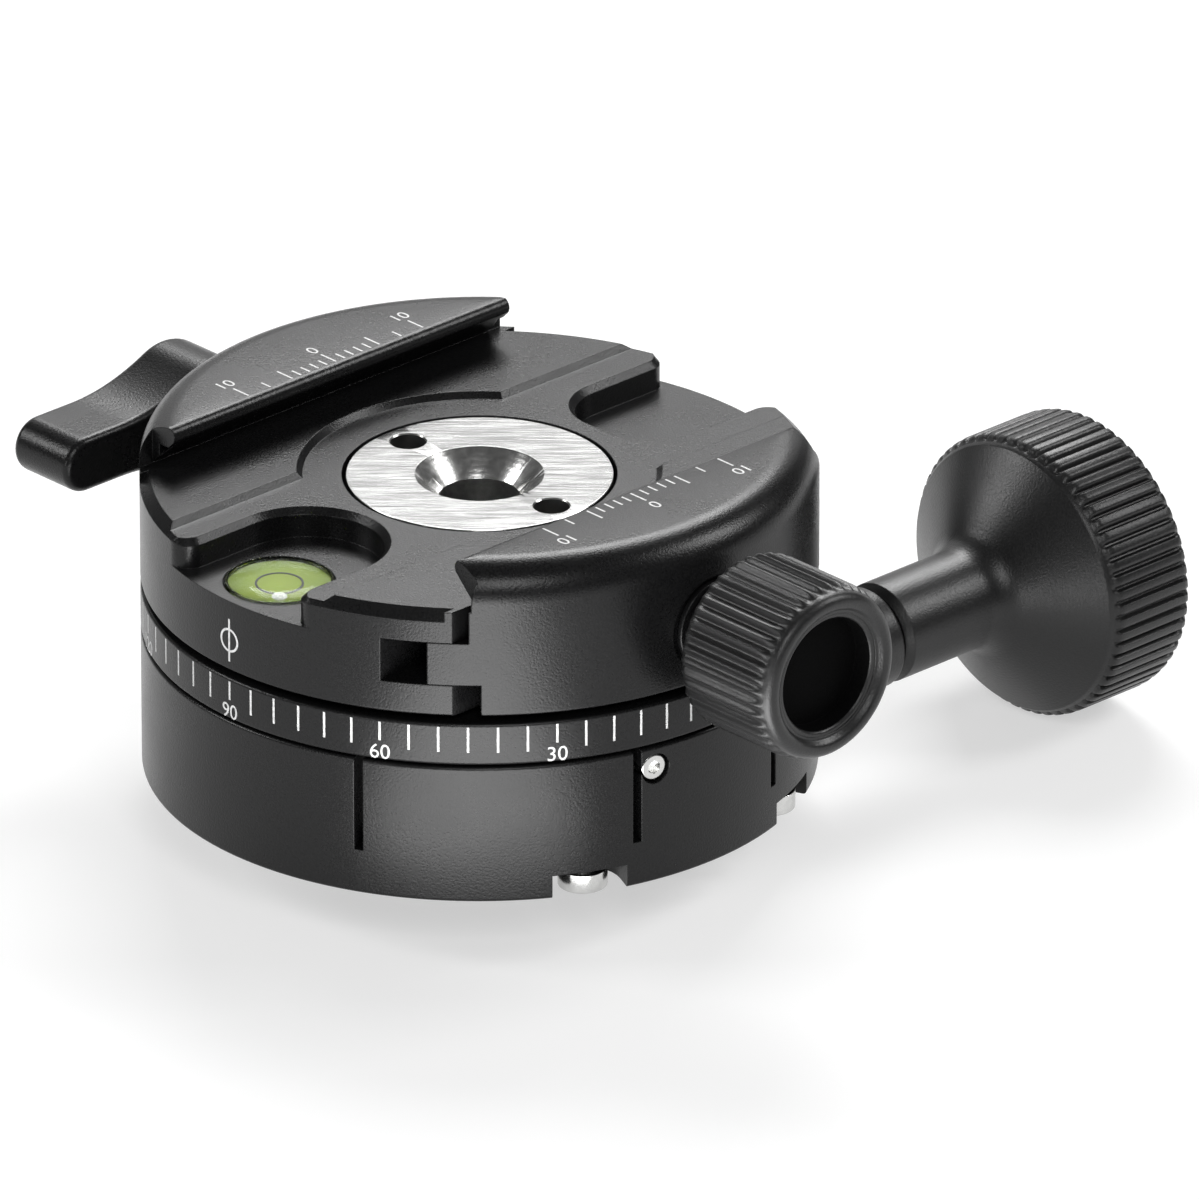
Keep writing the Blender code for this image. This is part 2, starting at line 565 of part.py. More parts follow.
def base_housing():
    """The round housing with its wheel chamber, worm bore, slits and screw notches."""
    outline = [
        (PLATE_RECESS_RADIUS, 0),
        (BODY_RADIUS - HOUSING_BOTTOM_CHAMFER, 0),
        (BODY_RADIUS, HOUSING_BOTTOM_CHAMFER),
        (BODY_RADIUS, BASE_HEIGHT - HOUSING_TOP_CHAMFER),
        (BODY_RADIUS - HOUSING_TOP_CHAMFER, BASE_HEIGHT),
        (THRUST_OUTER_RADIUS + SEAT_GAP, BASE_HEIGHT),
        (THRUST_OUTER_RADIUS + SEAT_GAP, THRUST_SEAT),
        (WHEEL_CHAMBER_RADIUS, THRUST_SEAT),
        (WHEEL_CHAMBER_RADIUS, PLATE_RECESS_DEPTH),
        (PLATE_RECESS_RADIUS, PLATE_RECESS_DEPTH),
    ]
    housing = turned("base_housing", outline, LARGE_STEPS, "black_anodised")
    worm_line = (0, -WORM_OFFSET, WORM_HEIGHT)
    drill(housing, "worm_bore", WORM_BORE_RADIUS, -WORM_BORE_END, SLEEVE_SHOULDER, "+X", worm_line)
    wall_end = BODY_RADIUS + OVERRUN
    sleeve_start = SLEEVE_SHOULDER - FIT
    drill(housing, "sleeve_bore", SLEEVE_BORE_RADIUS, sleeve_start, wall_end, "+X", worm_line, MEDIUM_STEPS)
    for number, degrees in enumerate(SLIT_ANGLES):
        inner = BODY_RADIUS - SLIT_DEPTH
        outline = [
            (inner, -SLIT_WIDTH / 2, SLIT_FOOT),
            (wall_end, -SLIT_WIDTH / 2, SLIT_FOOT),
            (wall_end, SLIT_WIDTH / 2, SLIT_FOOT),
            (inner, SLIT_WIDTH / 2, SLIT_FOOT),
        ]
        slit = extruded(f"slit_cut_{number}", outline, (0, 0, BASE_HEIGHT))
        slit.matrix_world = Matrix.Rotation(math.radians(degrees), 4, "Z")
        combine(housing, slit)
    for number, degrees in enumerate(NOTCH_ANGLES):
        combine(housing, notch_cutter(f"notch_cut_{number}", degrees))
        centre = on_circle(NOTCH_CENTRE_RADIUS, degrees)
        hole_radius = NOTCH_SHANK_RADIUS + FIT
        hole_end = NOTCH_HEAD_HEIGHT + NOTCH_SHANK_LENGTH + SEAT_GAP
        drill(housing, f"notch_hole_{number}", hole_radius, 0, hole_end, "+Z", centre, TINY_STEPS)
    plate_hole_end = SCREW_LENGTH + SEAT_GAP
    for number, degrees in enumerate(PLATE_SCREW_ANGLES):
        centre = on_circle(PLATE_SCREW_CIRCLE, degrees)
        hole_radius = SCREW_SHANK_RADIUS + FIT
        drill(housing, f"plate_hole_{number}", hole_radius, 0, plate_hole_end, "+Z", centre, TINY_STEPS)
    for number, degrees in enumerate(DIAL_SCREW_ANGLES):
        centre = on_circle(DIAL_SCREW_CIRCLE, degrees, DIAL_TOP - SCREW_LENGTH - SEAT_GAP)
        hole_radius = SCREW_SHANK_RADIUS + FIT
        drill(housing, f"dial_hole_{number}", hole_radius, 0, BASE_HEIGHT, "+Z", centre, TINY_STEPS)
    side_hole = radial_cutter("mesh_hole", MESH_SCREW_RADIUS + FIT / 2)
    combine(housing, side_hole)
    return housing


def notch_cutter(name, degrees):
    """A round-ended slot in the housing's bottom edge, open to the outside."""
    half = NOTCH_WIDTH / 2
    outer = BODY_RADIUS + OVERRUN
    outline = [(outer, -half)]
    outline += list(reversed(arc((NOTCH_CENTRE_RADIUS, 0), half, 90, 270)))
    outline += [(outer, half)]
    points = [(x, y, -OVERRUN) for x, y in outline]
    cutter = extruded(name, points, (0, 0, OVERRUN + NOTCH_HEIGHT))
    cutter.matrix_world = Matrix.Rotation(math.radians(degrees), 4, "Z")
    return cutter


def radial_matrix(degrees, height):
    """The matrix that lays local +Z along a radius at a height."""
    lift = Matrix.Translation(Vector((0, 0, height)))
    return lift @ Matrix.Rotation(math.radians(degrees), 4, "Z") @ Matrix.Rotation(math.pi / 2, 4, "Y")


def radial_cutter(name, radius):
    """The tapped hole for the mesh set screw."""
    start = BODY_RADIUS - MESH_SCREW_SUNK - MESH_SCREW_LENGTH - SEAT_GAP
    end = BODY_RADIUS + OVERRUN
    cutter = turned(name, [(0, start), (radius, start), (radius, end), (0, end)], TINY_STEPS)
    cutter.matrix_world = radial_matrix(MESH_SCREW_ANGLE, MESH_SCREW_HEIGHT)
    return cutter


def mesh_set_screw():
    """The small set screw beside the slit, which sets the worm's mesh."""
    outer = BODY_RADIUS - MESH_SCREW_SUNK
    inner = outer - MESH_SCREW_LENGTH
    outline = [
        (0, inner),
        (MESH_SCREW_RADIUS, inner),
        (MESH_SCREW_RADIUS, outer),
        (SCREW_SOCKET_RADIUS, outer),
        (SCREW_SOCKET_RADIUS, outer - SCREW_SOCKET_DEPTH),
        (0, outer - SCREW_SOCKET_DEPTH),
    ]
    screw = turned("mesh_set_screw", outline, TINY_STEPS, "bright_steel")
    screw.matrix_world = radial_matrix(MESH_SCREW_ANGLE, MESH_SCREW_HEIGHT)


def notch_screws():
    """The two turned screws whose heads show in the notches of the bottom edge."""
    for side, degrees in zip(("left", "right"), NOTCH_ANGLES):
        origin = on_circle(NOTCH_CENTRE_RADIUS, degrees)
        outline = [
            (0, SCREW_SOCKET_DEPTH),
            (SCREW_SOCKET_RADIUS, SCREW_SOCKET_DEPTH),
            (SCREW_SOCKET_RADIUS, 0),
            (NOTCH_HEAD_RADIUS, 0),
            (NOTCH_HEAD_RADIUS, NOTCH_HEAD_HEIGHT),
            (NOTCH_SHANK_RADIUS, NOTCH_HEAD_HEIGHT),
            (NOTCH_SHANK_RADIUS, NOTCH_HEAD_HEIGHT + NOTCH_SHANK_LENGTH),
            (0, NOTCH_HEAD_HEIGHT + NOTCH_SHANK_LENGTH),
        ]
        turned(f"notch_screw_{side}", outline, SMALL_STEPS, "bright_steel", "+Z", origin)


def bottom_plate():
    """The plate that closes the housing from below and carries the spindle."""
    hole = SPINDLE_BOSS_RADIUS + SEAT_GAP
    outline = [(hole, 0), (PLATE_RADIUS, 0), (PLATE_RADIUS, PLATE_THICKNESS), (hole, PLATE_THICKNESS)]
    plate = turned("bottom_plate", outline, MEDIUM_STEPS, "black_anodised")
    rings = (
        ("plate", PLATE_SCREW_CIRCLE, PLATE_SCREW_ANGLES, SCREW_LENGTH),
        ("spindle", SPINDLE_SCREW_CIRCLE, SPINDLE_SCREW_ANGLES, SPINDLE_SCREW_LENGTH),
    )
    for label, circle, angles, length in rings:
        for number, degrees in enumerate(angles):
            centre = on_circle(circle, degrees)
            counterbore = SCREW_HEAD_RADIUS + FIT
            depth = SCREW_HEAD_HEIGHT + FIT
            head_cut = (counterbore, -OVERRUN, depth, "+Z", centre, TINY_STEPS)
            drill(plate, f"{label}_head_cut_{number}", *head_cut)
            clearance = SCREW_SHANK_RADIUS + FIT
            drill(plate, f"{label}_shank_cut_{number}", clearance, 0, length, "+Z", centre, TINY_STEPS)
            head = (SCREW_HEAD_RADIUS, SCREW_HEAD_HEIGHT, SCREW_SHANK_RADIUS, length)
            machine_screw(f"{label}_screw_{number + 1}", *head, "+Z", centre)
    return plate


def spindle():
    """The steel spindle: flange, post, tripod socket below and the disc's bore above."""
    outline = [
        (TRIPOD_SOCKET_RADIUS, 0),
        (SPINDLE_BOSS_RADIUS, 0),
        (SPINDLE_BOSS_RADIUS, FLANGE_BOTTOM),
        (SPINDLE_FLANGE_RADIUS, FLANGE_BOTTOM),
        (SPINDLE_FLANGE_RADIUS, FLANGE_TOP),
        (SPINDLE_RADIUS, FLANGE_TOP),
        (SPINDLE_RADIUS, SPINDLE_TOP),
        (SPINDLE_BORE_RADIUS, SPINDLE_TOP),
        (SPINDLE_BORE_RADIUS, TRIPOD_SOCKET_DEPTH + SPINDLE_WEB),
        (CENTRE_HOLE_RADIUS, TRIPOD_SOCKET_DEPTH + SPINDLE_WEB),
        (CENTRE_HOLE_RADIUS, TRIPOD_SOCKET_DEPTH),
        (TRIPOD_SOCKET_RADIUS, TRIPOD_SOCKET_DEPTH),
    ]
    post = turned("spindle", outline, MEDIUM_STEPS, "bright_steel")
    for number, degrees in enumerate(SPINDLE_SCREW_ANGLES):
        centre = on_circle(SPINDLE_SCREW_CIRCLE, degrees)
        hole_radius = SCREW_SHANK_RADIUS + FIT
        hole_end = SPINDLE_SCREW_LENGTH + FIT
        drill(post, f"flange_hole_{number}", hole_radius, 0, hole_end, "+Z", centre, TINY_STEPS)
    inner = SPINDLE_RADIUS + SEAT_GAP
    bottom = FLANGE_TOP + FIT
    ring("gear_lower_washer", inner, SPINDLE_FLANGE_RADIUS, bottom, bottom + LOWER_WASHER, "nylon")


def ring(name, inner, outer, bottom, top, finish, segments=MEDIUM_STEPS):
    """A plain flat ring round the pan axis."""
    outline = [(inner, bottom), (outer, bottom), (outer, top), (inner, top)]
    return turned(name, outline, segments, finish)


def degree_ring():
    """The degree ring, screwed to the top of the housing."""
    outline = [
        (DIAL_INNER_RADIUS, DIAL_BOTTOM),
        (BODY_RADIUS - DIAL_CHAMFER, DIAL_BOTTOM),
        (BODY_RADIUS, DIAL_BOTTOM + DIAL_CHAMFER),
        (BODY_RADIUS, DIAL_TOP - DIAL_CHAMFER),
        (BODY_RADIUS - DIAL_CHAMFER, DIAL_TOP),
        (DIAL_INNER_RADIUS, DIAL_TOP),
    ]
    dial = turned("degree_ring", outline, LARGE_STEPS, "black_anodised")
    for number, degrees in enumerate(DIAL_SCREW_ANGLES):
        foot = on_circle(DIAL_SCREW_CIRCLE, degrees, DIAL_TOP)
        # The screw hangs head up, so its local axis runs down
        screw = machine_screw(
            f"dial_screw_{number + 1}",
            SCREW_HEAD_RADIUS,
            SCREW_HEAD_HEIGHT,
            SCREW_SHANK_RADIUS,
            SCREW_LENGTH,
            "+Z",
            (0, 0, 0),
        )
        screw.matrix_world = Matrix.Translation(Vector(foot)) @ Matrix.Rotation(math.pi, 4, "X")
        head_floor = -SCREW_HEAD_HEIGHT - FIT
        counterbore = SCREW_HEAD_RADIUS + FIT
        drill(dial, f"dial_head_cut_{number}", counterbore, head_floor, OVERRUN, "+Z", foot, TINY_STEPS)
        clearance = SCREW_SHANK_RADIUS + FIT
        drill(dial, f"dial_shank_cut_{number}", clearance, -DIAL_TOP, 0, "+Z", foot, TINY_STEPS)


def thrust_washer():
    """The washer that carries the gear flange on the housing."""
    bottom = THRUST_SEAT + FIT
    top = bottom + THRUST_THICKNESS
    ring("gear_thrust_washer", THRUST_INNER_RADIUS, THRUST_OUTER_RADIUS, bottom, top, "nylon")


# Gear wheel and worm


def tooth_outline(height):
    """The wheel's tooth outline at a height, turned along the worm's lead."""
    twist = math.tan(LEAD_ANGLE) * (height - WORM_HEIGHT) / WHEEL_PITCH_RADIUS
    half_pitch_line = (WORM_LEAD / 2 - BACKLASH) / 2
    slope = math.tan(PRESSURE_ANGLE)
    half_tip = half_pitch_line - (WHEEL_TIP_RADIUS - WHEEL_PITCH_RADIUS) * slope
    half_root = half_pitch_line + (WHEEL_PITCH_RADIUS - WHEEL_ROOT_RADIUS) * slope
    points = []
    for tooth in range(TEETH):
        middle = -math.pi / 2 + twist + 2 * math.pi * (tooth + 0.5) / TEETH
        corners = (
            (WHEEL_ROOT_RADIUS, -half_root),
            (WHEEL_TIP_RADIUS, -half_tip),
            (WHEEL_TIP_RADIUS, half_tip),
            (WHEEL_ROOT_RADIUS, half_root),
        )
        for radius, offset in corners:
            angle = middle + offset / radius
            points.append((radius * math.cos(angle), radius * math.sin(angle), height))
    return points


def gear_wheel():
    """The worm wheel with its flange and the drum that the brake shoe grips."""
    hub = [
        (GEAR_BORE_RADIUS, GEAR_BOTTOM),
        (GEAR_HUB_RADIUS, GEAR_BOTTOM),
        (GEAR_HUB_RADIUS, GEAR_FLANGE_BOTTOM),
        (GEAR_FLANGE_RADIUS, GEAR_FLANGE_BOTTOM),
        (GEAR_FLANGE_RADIUS, GEAR_TOP),
        (DRUM_RADIUS, GEAR_TOP),
        (DRUM_RADIUS, DRUM_TOP),
        (DRUM_INNER_RADIUS, DRUM_TOP),
        (DRUM_INNER_RADIUS, GEAR_TOP),
        (GEAR_BORE_RADIUS, GEAR_TOP),
    ]
    wheel = turned("gear_wheel", hub, MEDIUM_STEPS, "bronze")
    lower = WORM_HEIGHT - WHEEL_FACE / 2
    upper = WORM_HEIGHT + WHEEL_FACE / 2
    teeth = lofted("tooth_shapes", tooth_outline(lower), tooth_outline(upper))
    core = GEAR_HUB_RADIUS - SEAT_GAP
    drill(teeth, "tooth_core", core, lower - OVERRUN, upper + OVERRUN, "+Z", (0, 0, 0), MEDIUM_STEPS)
    combine(wheel, teeth, "UNION")
    inner = SPINDLE_RADIUS + RUNNING_FIT
    outer = GEAR_BORE_RADIUS - RUNNING_FIT
    ring("gear_bush", inner, outer, GEAR_BOTTOM, GEAR_TOP, "bronze")
    washer_inner = DRUM_RADIUS + CAVITY_WALL_GAP
    washer_bottom = GEAR_TOP + SEAT_GAP
    washer_top = HEAD_BOTTOM + WASHER_RECESS - SEAT_GAP
    outer = HEAD_WASHER_RADIUS
    ring("head_thrust_washer", washer_inner + SEAT_GAP, outer, washer_bottom, washer_top, "nylon")


def worm_thread():
    """The worm's thread: a trapezoid carried along a right-hand helix about +X."""
    half_pitch_line = (WORM_LEAD / 2 - BACKLASH) / 2
    slope = math.tan(PRESSURE_ANGLE)
    buried = WORM_ROOT_RADIUS - FIT
    half_tip = half_pitch_line - (WORM_TIP_RADIUS - WORM_PITCH_RADIUS) * slope
    half_buried = half_pitch_line + (WORM_PITCH_RADIUS - buried) * slope
    section = (
        (buried, -half_buried),
        (WORM_TIP_RADIUS, -half_tip),
        (WORM_TIP_RADIUS, half_tip),
        (buried, half_buried),
    )
    steps_per_turn = THREAD_STEPS
    steps = steps_per_turn * THREAD_TURNS
    shape = bmesh.new()
    rings = []
    for step in range(steps + 1):
        turn = step / steps_per_turn - THREAD_TURNS / 2
        angle = 2 * math.pi * turn
        points = []
        for radius, offset in section:
            across = radius * math.cos(angle)
            up = radius * math.sin(angle)
            points.append((WORM_LEAD * turn + offset, across - WORM_OFFSET, up + WORM_HEIGHT))
        rings.append([shape.verts.new(point) for point in points])
    bridge(shape, rings)
    return add_object("thread_shape", shape)


def worm_shaft():
    """The worm and its shaft in one piece, from the end bush to the knob."""
    bush_end = COLLAR_START + COLLAR_WIDTH + FIT + END_BUSH_LENGTH
    outline = [
        (0, -bush_end + FIT),
        (SHAFT_RADIUS, -bush_end + FIT),
        (SHAFT_RADIUS, -COLLAR_START - COLLAR_WIDTH),
        (COLLAR_RADIUS, -COLLAR_START - COLLAR_WIDTH),
        (COLLAR_RADIUS, -COLLAR_START),
        (WORM_ROOT_RADIUS, -COLLAR_START),
        (WORM_ROOT_RADIUS, COLLAR_START),
        (COLLAR_RADIUS, COLLAR_START),
        (COLLAR_RADIUS, COLLAR_START + COLLAR_WIDTH),
        (SHAFT_RADIUS, COLLAR_START + COLLAR_WIDTH),
        (SHAFT_RADIUS, SHAFT_END),
        (0, SHAFT_END),
    ]
    worm_line = (0, -WORM_OFFSET, WORM_HEIGHT)
    shaft = turned("worm_shaft", outline, SMALL_STEPS, "bright_steel", "+X", worm_line)
    combine(shaft, worm_thread(), "UNION")
    screw_start = SHAFT_END - KNOB_SCREW_REACH
    tap = (KNOB_SCREW_SHANK_RADIUS + FIT, screw_start, SHAFT_END + OVERRUN)
    drill(shaft, "shaft_tap", *tap, "+X", worm_line)
    bush = [
        (SHAFT_RADIUS + RUNNING_FIT, -bush_end),
        (WORM_BORE_RADIUS - FIT, -bush_end),
        (WORM_BORE_RADIUS - FIT, -bush_end + END_BUSH_LENGTH),
        (SHAFT_RADIUS + RUNNING_FIT, -bush_end + END_BUSH_LENGTH),
    ]
    turned("worm_end_bush", bush, SMALL_STEPS, "bronze", "+X", worm_line)
    nose_start = COLLAR_START + COLLAR_WIDTH + FIT
    sleeve = [
        (SHAFT_RADIUS + RUNNING_FIT, nose_start),
        (WORM_BORE_RADIUS - FIT, nose_start),
        (WORM_BORE_RADIUS - FIT, SLEEVE_SHOULDER),
        (SLEEVE_RADIUS, SLEEVE_SHOULDER),
        (SLEEVE_RADIUS, SLEEVE_END),
        (SHAFT_RADIUS + RUNNING_FIT, SLEEVE_END),
    ]
    turned("worm_sleeve", sleeve, MEDIUM_STEPS, "black_anodised", "+X", worm_line)


def worm_knob():
    """The large knob: stem, flared bell, fluted rim, and its screw under an end cap."""
    worm_line = (0, -WORM_OFFSET, WORM_HEIGHT)
    bore = SHAFT_RADIUS + FIT
    cap_floor = WORM_KNOB_END - KNOB_CAP_THICKNESS - SEAT_GAP
    screw_floor = cap_floor - KNOB_SCREW_RECESS
    core_radius = WORM_KNOB_RADIUS - FLUTE_DEPTH - KNURL_CHAMFER
    outline = [
        (bore, STEM_START),
        (STEM_RADIUS - STEM_CHAMFER, STEM_START),
        (STEM_RADIUS, STEM_START + STEM_CHAMFER),
        (STEM_RADIUS, BELL_START),
        (STEM_RADIUS + (BELL_FOOT_RADIUS - STEM_RADIUS) / 3, (BELL_START + BELL_FOOT_STATION) / 2),
        (BELL_FOOT_RADIUS, BELL_FOOT_STATION),
        (BELL_RIM_RADIUS, BELL_RIM_STATION),
        (core_radius, WORM_KNURL_START),
        (core_radius, WORM_KNOB_END),
        (KNOB_CAP_RADIUS + FIT, WORM_KNOB_END),
        (KNOB_CAP_RADIUS + FIT, cap_floor),
        (KNOB_SCREW_HEAD_RADIUS + SEAT_GAP, cap_floor),
        (KNOB_SCREW_HEAD_RADIUS + SEAT_GAP, screw_floor),
        (KNOB_SCREW_SHANK_RADIUS + FIT, screw_floor),
        (KNOB_SCREW_SHANK_RADIUS + FIT, SHAFT_END + SEAT_GAP),
        (bore, SHAFT_END + SEAT_GAP),
    ]
    knob = turned("worm_knob", outline, MEDIUM_STEPS, "black_anodised", "+X", worm_line)
    band_start = WORM_KNURL_START - KNURL_CHAMFER
    band_end = WORM_KNOB_END + KNURL_CHAMFER / 2
    shape = (WORM_KNOB_RADIUS, WORM_KNOB_FLUTES, band_start, band_end)
    band = knurled_band("worm_knurl", *shape, "+X", worm_line)
    hollow = KNOB_CAP_RADIUS + 2 * FIT
    core = (hollow, band_start - OVERRUN, band_end + OVERRUN)
    drill(band, "knurl_core", *core, "+X", worm_line, MEDIUM_STEPS)
    combine(knob, band, "UNION")
    cap = [(0, cap_floor + SEAT_GAP), (KNOB_CAP_RADIUS, cap_floor + SEAT_GAP)]
    cap += [(KNOB_CAP_RADIUS, WORM_KNOB_END), (0, WORM_KNOB_END)]
    turned("worm_knob_cap", cap, MEDIUM_STEPS, "black_anodised", "+X", worm_line)
    head_start = screw_floor + FIT
    screw = [
        (0, SHAFT_END - KNOB_SCREW_REACH + SEAT_GAP),
        (KNOB_SCREW_SHANK_RADIUS, SHAFT_END - KNOB_SCREW_REACH + SEAT_GAP),
        (KNOB_SCREW_SHANK_RADIUS, head_start),
        (KNOB_SCREW_HEAD_RADIUS, head_start),
        (KNOB_SCREW_HEAD_RADIUS, head_start + KNOB_SCREW_HEAD_HEIGHT),
        (SCREW_SOCKET_RADIUS, head_start + KNOB_SCREW_HEAD_HEIGHT),
        (SCREW_SOCKET_RADIUS, head_start + KNOB_SCREW_HEAD_HEIGHT - SCREW_SOCKET_DEPTH),
        (0, head_start + KNOB_SCREW_HEAD_HEIGHT - SCREW_SOCKET_DEPTH),
    ]
    turned("worm_knob_screw", screw, TINY_STEPS, "bright_steel", "+X", worm_line)


# Head: upper body, hub and level


def head_blank(name, finish):
    """The full round of the head up to the jaw tops, with its rounded top edge."""
    outline = [
        (0, HEAD_BOTTOM),
        (BODY_RADIUS - LOWER_EDGE_CHAMFER, HEAD_BOTTOM),
        (BODY_RADIUS, HEAD_BOTTOM + LOWER_EDGE_CHAMFER),
    ]
    outline += arc((BODY_RADIUS - TOP_FILLET, JAW_TOP - TOP_FILLET), TOP_FILLET, 0, 90)
    outline.append((0, JAW_TOP))
    return turned(name, outline, LARGE_STEPS, finish)


def lip_outline(opening):
    """The lip's edge from its root to the flat jaw top, as distances from the middle plane."""
    flank_sum = FLANK_SUM + opening
    centre = (LIP_TIP_Y + opening + LIP_TIP_RADIUS, JAW_TOP - LIP_TIP_RADIUS)
    points = [(flank_sum - STRIP, STRIP)]
    points += list(reversed(arc(centre, LIP_TIP_RADIUS, 90, 225, 5)))
    return points


def upper_body():
    """The body above the dial: bed, fixed jaw, pockets, slide slots and bearing bores."""
    body = head_blank("upper_body", "black_anodised")
    wide = BODY_RADIUS + OVERRUN
    section = [(-BODY_FACE_Y, HEAD_BOTTOM - OVERRUN), (-BODY_FACE_Y, STRIP)]
    section += lip_outline(0.0)
    section.append((section[-1][0], JAW_TOP + OVERRUN))
    section += [(wide, JAW_TOP + OVERRUN), (wide, HEAD_BOTTOM - OVERRUN)]
    points = [(-wide, y, z) for y, z in section]
    combine(body, extruded("body_section", points, (2 * wide, 0, 0)), "INTERSECT")
    combine(body, rim_cutter())
    combine(body, recess_cutter())
    for sign in (-1, 1):
        combine(body, lip_end_cutter(f"fixed_lip_end_{sign}", sign, 0.0, 1))
    bore_recess(body)
    combine(body, level_pocket_cutter())
    combine(body, plain_pocket_cutter())
    vial_hole = VIAL_RADIUS + FIT / 2
    vial_floor = POCKET_FLOOR - VIAL_DEPTH - SEAT_GAP
    vial_centre = (VIAL_CENTRE_X, 0, 0)
    drill(body, "vial_hole", vial_hole, vial_floor, BED + OVERRUN, "+Z", vial_centre, MEDIUM_STEPS)
    for sign in (-1, 1):
        slot = [
            (sign * SLOT_START_X, -BODY_FACE_Y - OVERRUN, SLOT_BOTTOM),
            (sign * wide, -BODY_FACE_Y - OVERRUN, SLOT_BOTTOM),
            (sign * wide, -SLOT_END_Y, SLOT_BOTTOM),
            (sign * SLOT_START_X, -SLOT_END_Y, SLOT_BOTTOM),
        ]
        combine(body, extruded(f"slide_slot_{sign}", slot, (0, 0, SLOT_HEIGHT)))
        spring_line = (sign * SPRING_X, 0, CLAMP_HEIGHT)
        spring_out = BODY_FACE_Y + OVERRUN / 2
        spring_hole = (SPRING_POCKET_RADIUS, SPRING_BODY_END_Y, spring_out)
        drill(body, f"spring_hole_{sign}", *spring_hole, "-Y", spring_line, TINY_STEPS)
        pin_line = (sign * PIN_X, 0, CLAMP_HEIGHT)
        pin_hole = (GUIDE_PIN_RADIUS + RUNNING_FIT, GUIDE_PIN_INNER_Y - SEAT_GAP, SLOT_END_Y + OVERRUN)
        drill(body, f"pin_hole_{sign}", *pin_hole, "-Y", pin_line, SMALL_STEPS)
    clamp_line = (0, 0, CLAMP_HEIGHT)
    clamp_out = BODY_FACE_Y + OVERRUN / 2
    drill(body, "clamp_bore", CLAMP_BORE_RADIUS, CLAMP_BORE_END_Y, clamp_out, "-Y", clamp_line)
    combine(body, shoe_channel_cutter())
    lock_line = (0, 0, LEVER_HEIGHT)
    lock_bore = LOCK_SCREW_RADIUS + LOCK_BORE_GAP
    drill(body, "lock_bore", lock_bore, LOCK_SCREW_TIP - SEAT_GAP, BODY_RADIUS + OVERRUN, "+Y", lock_line)
    return body


def bore_recess(body):
    """The stepped bores round the pan axis: disc recess, bush bore, drum groove, washer recess."""
    centre = (0, 0, 0)
    drill(body, "disc_recess", DISC_RECESS_RADIUS, HUB_RECESS_FLOOR, BED + OVERRUN, "+Z", centre, DISC_STEPS)
    below = HEAD_BOTTOM - OVERRUN
    drill(body, "bush_bore", HEAD_BORE_RADIUS, below, BED, "+Z", centre, MEDIUM_STEPS)
    groove = [
        (HEAD_BOSS_RADIUS, below),
        (CAVITY_RADIUS, below),
        (CAVITY_RADIUS, CAVITY_TOP),
        (HEAD_BOSS_RADIUS, CAVITY_TOP),
    ]
    combine(body, turned("drum_groove", groove, MEDIUM_STEPS))
    recess_radius = HEAD_WASHER_RADIUS + SEAT_GAP
    recess_top = HEAD_BOTTOM + WASHER_RECESS
    drill(body, "washer_recess", recess_radius, below, recess_top, "+Z", centre, MEDIUM_STEPS)


def rim_cutter():
    """The chamfer round the bed's outer edge, between the two jaws."""
    low = STRIP - RIM_CHAMFER
    wide = BODY_RADIUS + OVERRUN
    outline = [
        (wide, low - OVERRUN),
        (wide, JAW_TOP),
        (BODY_RADIUS - RIM_CHAMFER - JAW_RISE, JAW_TOP),
    ]
    cone = turned("rim_cone", outline, LARGE_STEPS)
    reach = FLANK_SUM - STRIP - RIM_CHAMFER
    keep = [(-wide, -reach, low - OVERRUN), (wide, -reach, low - OVERRUN)]
    keep += [(wide, reach, low - OVERRUN), (-wide, reach, low - OVERRUN)]
    strip_box = extruded("rim_span", keep, (0, 0, STRIP - low + 2 * OVERRUN))
    return combine(cone, strip_box, "INTERSECT")


def recess_outline(grow, height):
    """The middle recess: a straight band that swells to an arc round the hub."""
    half = RECESS_HALF_WIDTH + grow
    radius = RECESS_ARC_RADIUS + grow
    wide = BODY_RADIUS + OVERRUN
    bend = math.degrees(math.asin(half / radius))
    outline = [(-wide, half)]
    outline += list(reversed(arc((0, 0), radius, bend, 180 - bend, 2 * ARC_STEPS)))
    outline += [(wide, half), (wide, -half)]
    outline += list(reversed(arc((0, 0), radius, bend - 180, -bend, 2 * ARC_STEPS)))
    outline += [(-wide, -half)]
    return [(x, y, height) for x, y in outline]


def recess_cutter():
    """The cutter of the middle recess, with sloping walls as high as the step."""
    rise = STRIP_STEP + OVERRUN / 2
    lower = recess_outline(-STRIP_STEP / 2, BED)
    upper = recess_outline(rise - STRIP_STEP / 2, BED + rise)
    return lofted("recess_cut", lower, upper)


def lip_end_cutter(name, sign, opening, side):
    """Trims a lip's end square, down to the lip's root."""
    root = FLANK_SUM + opening - STRIP
    wide = BODY_RADIUS + OVERRUN
    near = side * (LIP_TIP_Y - OVERRUN)
    far = side * root
    foot = STRIP + HAIRLINE
    outline = [
        (sign * LIP_HALF_LENGTH, near, foot),
        (sign * wide, near, foot),
        (sign * wide, far, foot),
        (sign * LIP_HALF_LENGTH, far, foot),
    ]
    return extruded(name, outline, (0, 0, JAW_RISE + OVERRUN))


def pocket_mouth(half, side):
    """Where a pocket's wall rounds over into the body's outside, as the wall is followed out."""
    rounding = POCKET_MOUTH_ROUND
    centre_y = half + rounding
    centre_x = math.sqrt((BODY_RADIUS - rounding) ** 2 - centre_y ** 2)
    lean = math.degrees(math.atan2(centre_y, centre_x))
    points = arc((centre_x, centre_y), rounding, -90, lean, 4)
    reach = (BODY_RADIUS + OVERRUN) / BODY_RADIUS
    end = (points[-1][0] * reach, points[-1][1] * reach)
    return [(side * x, y) for x, y in points + [end]]


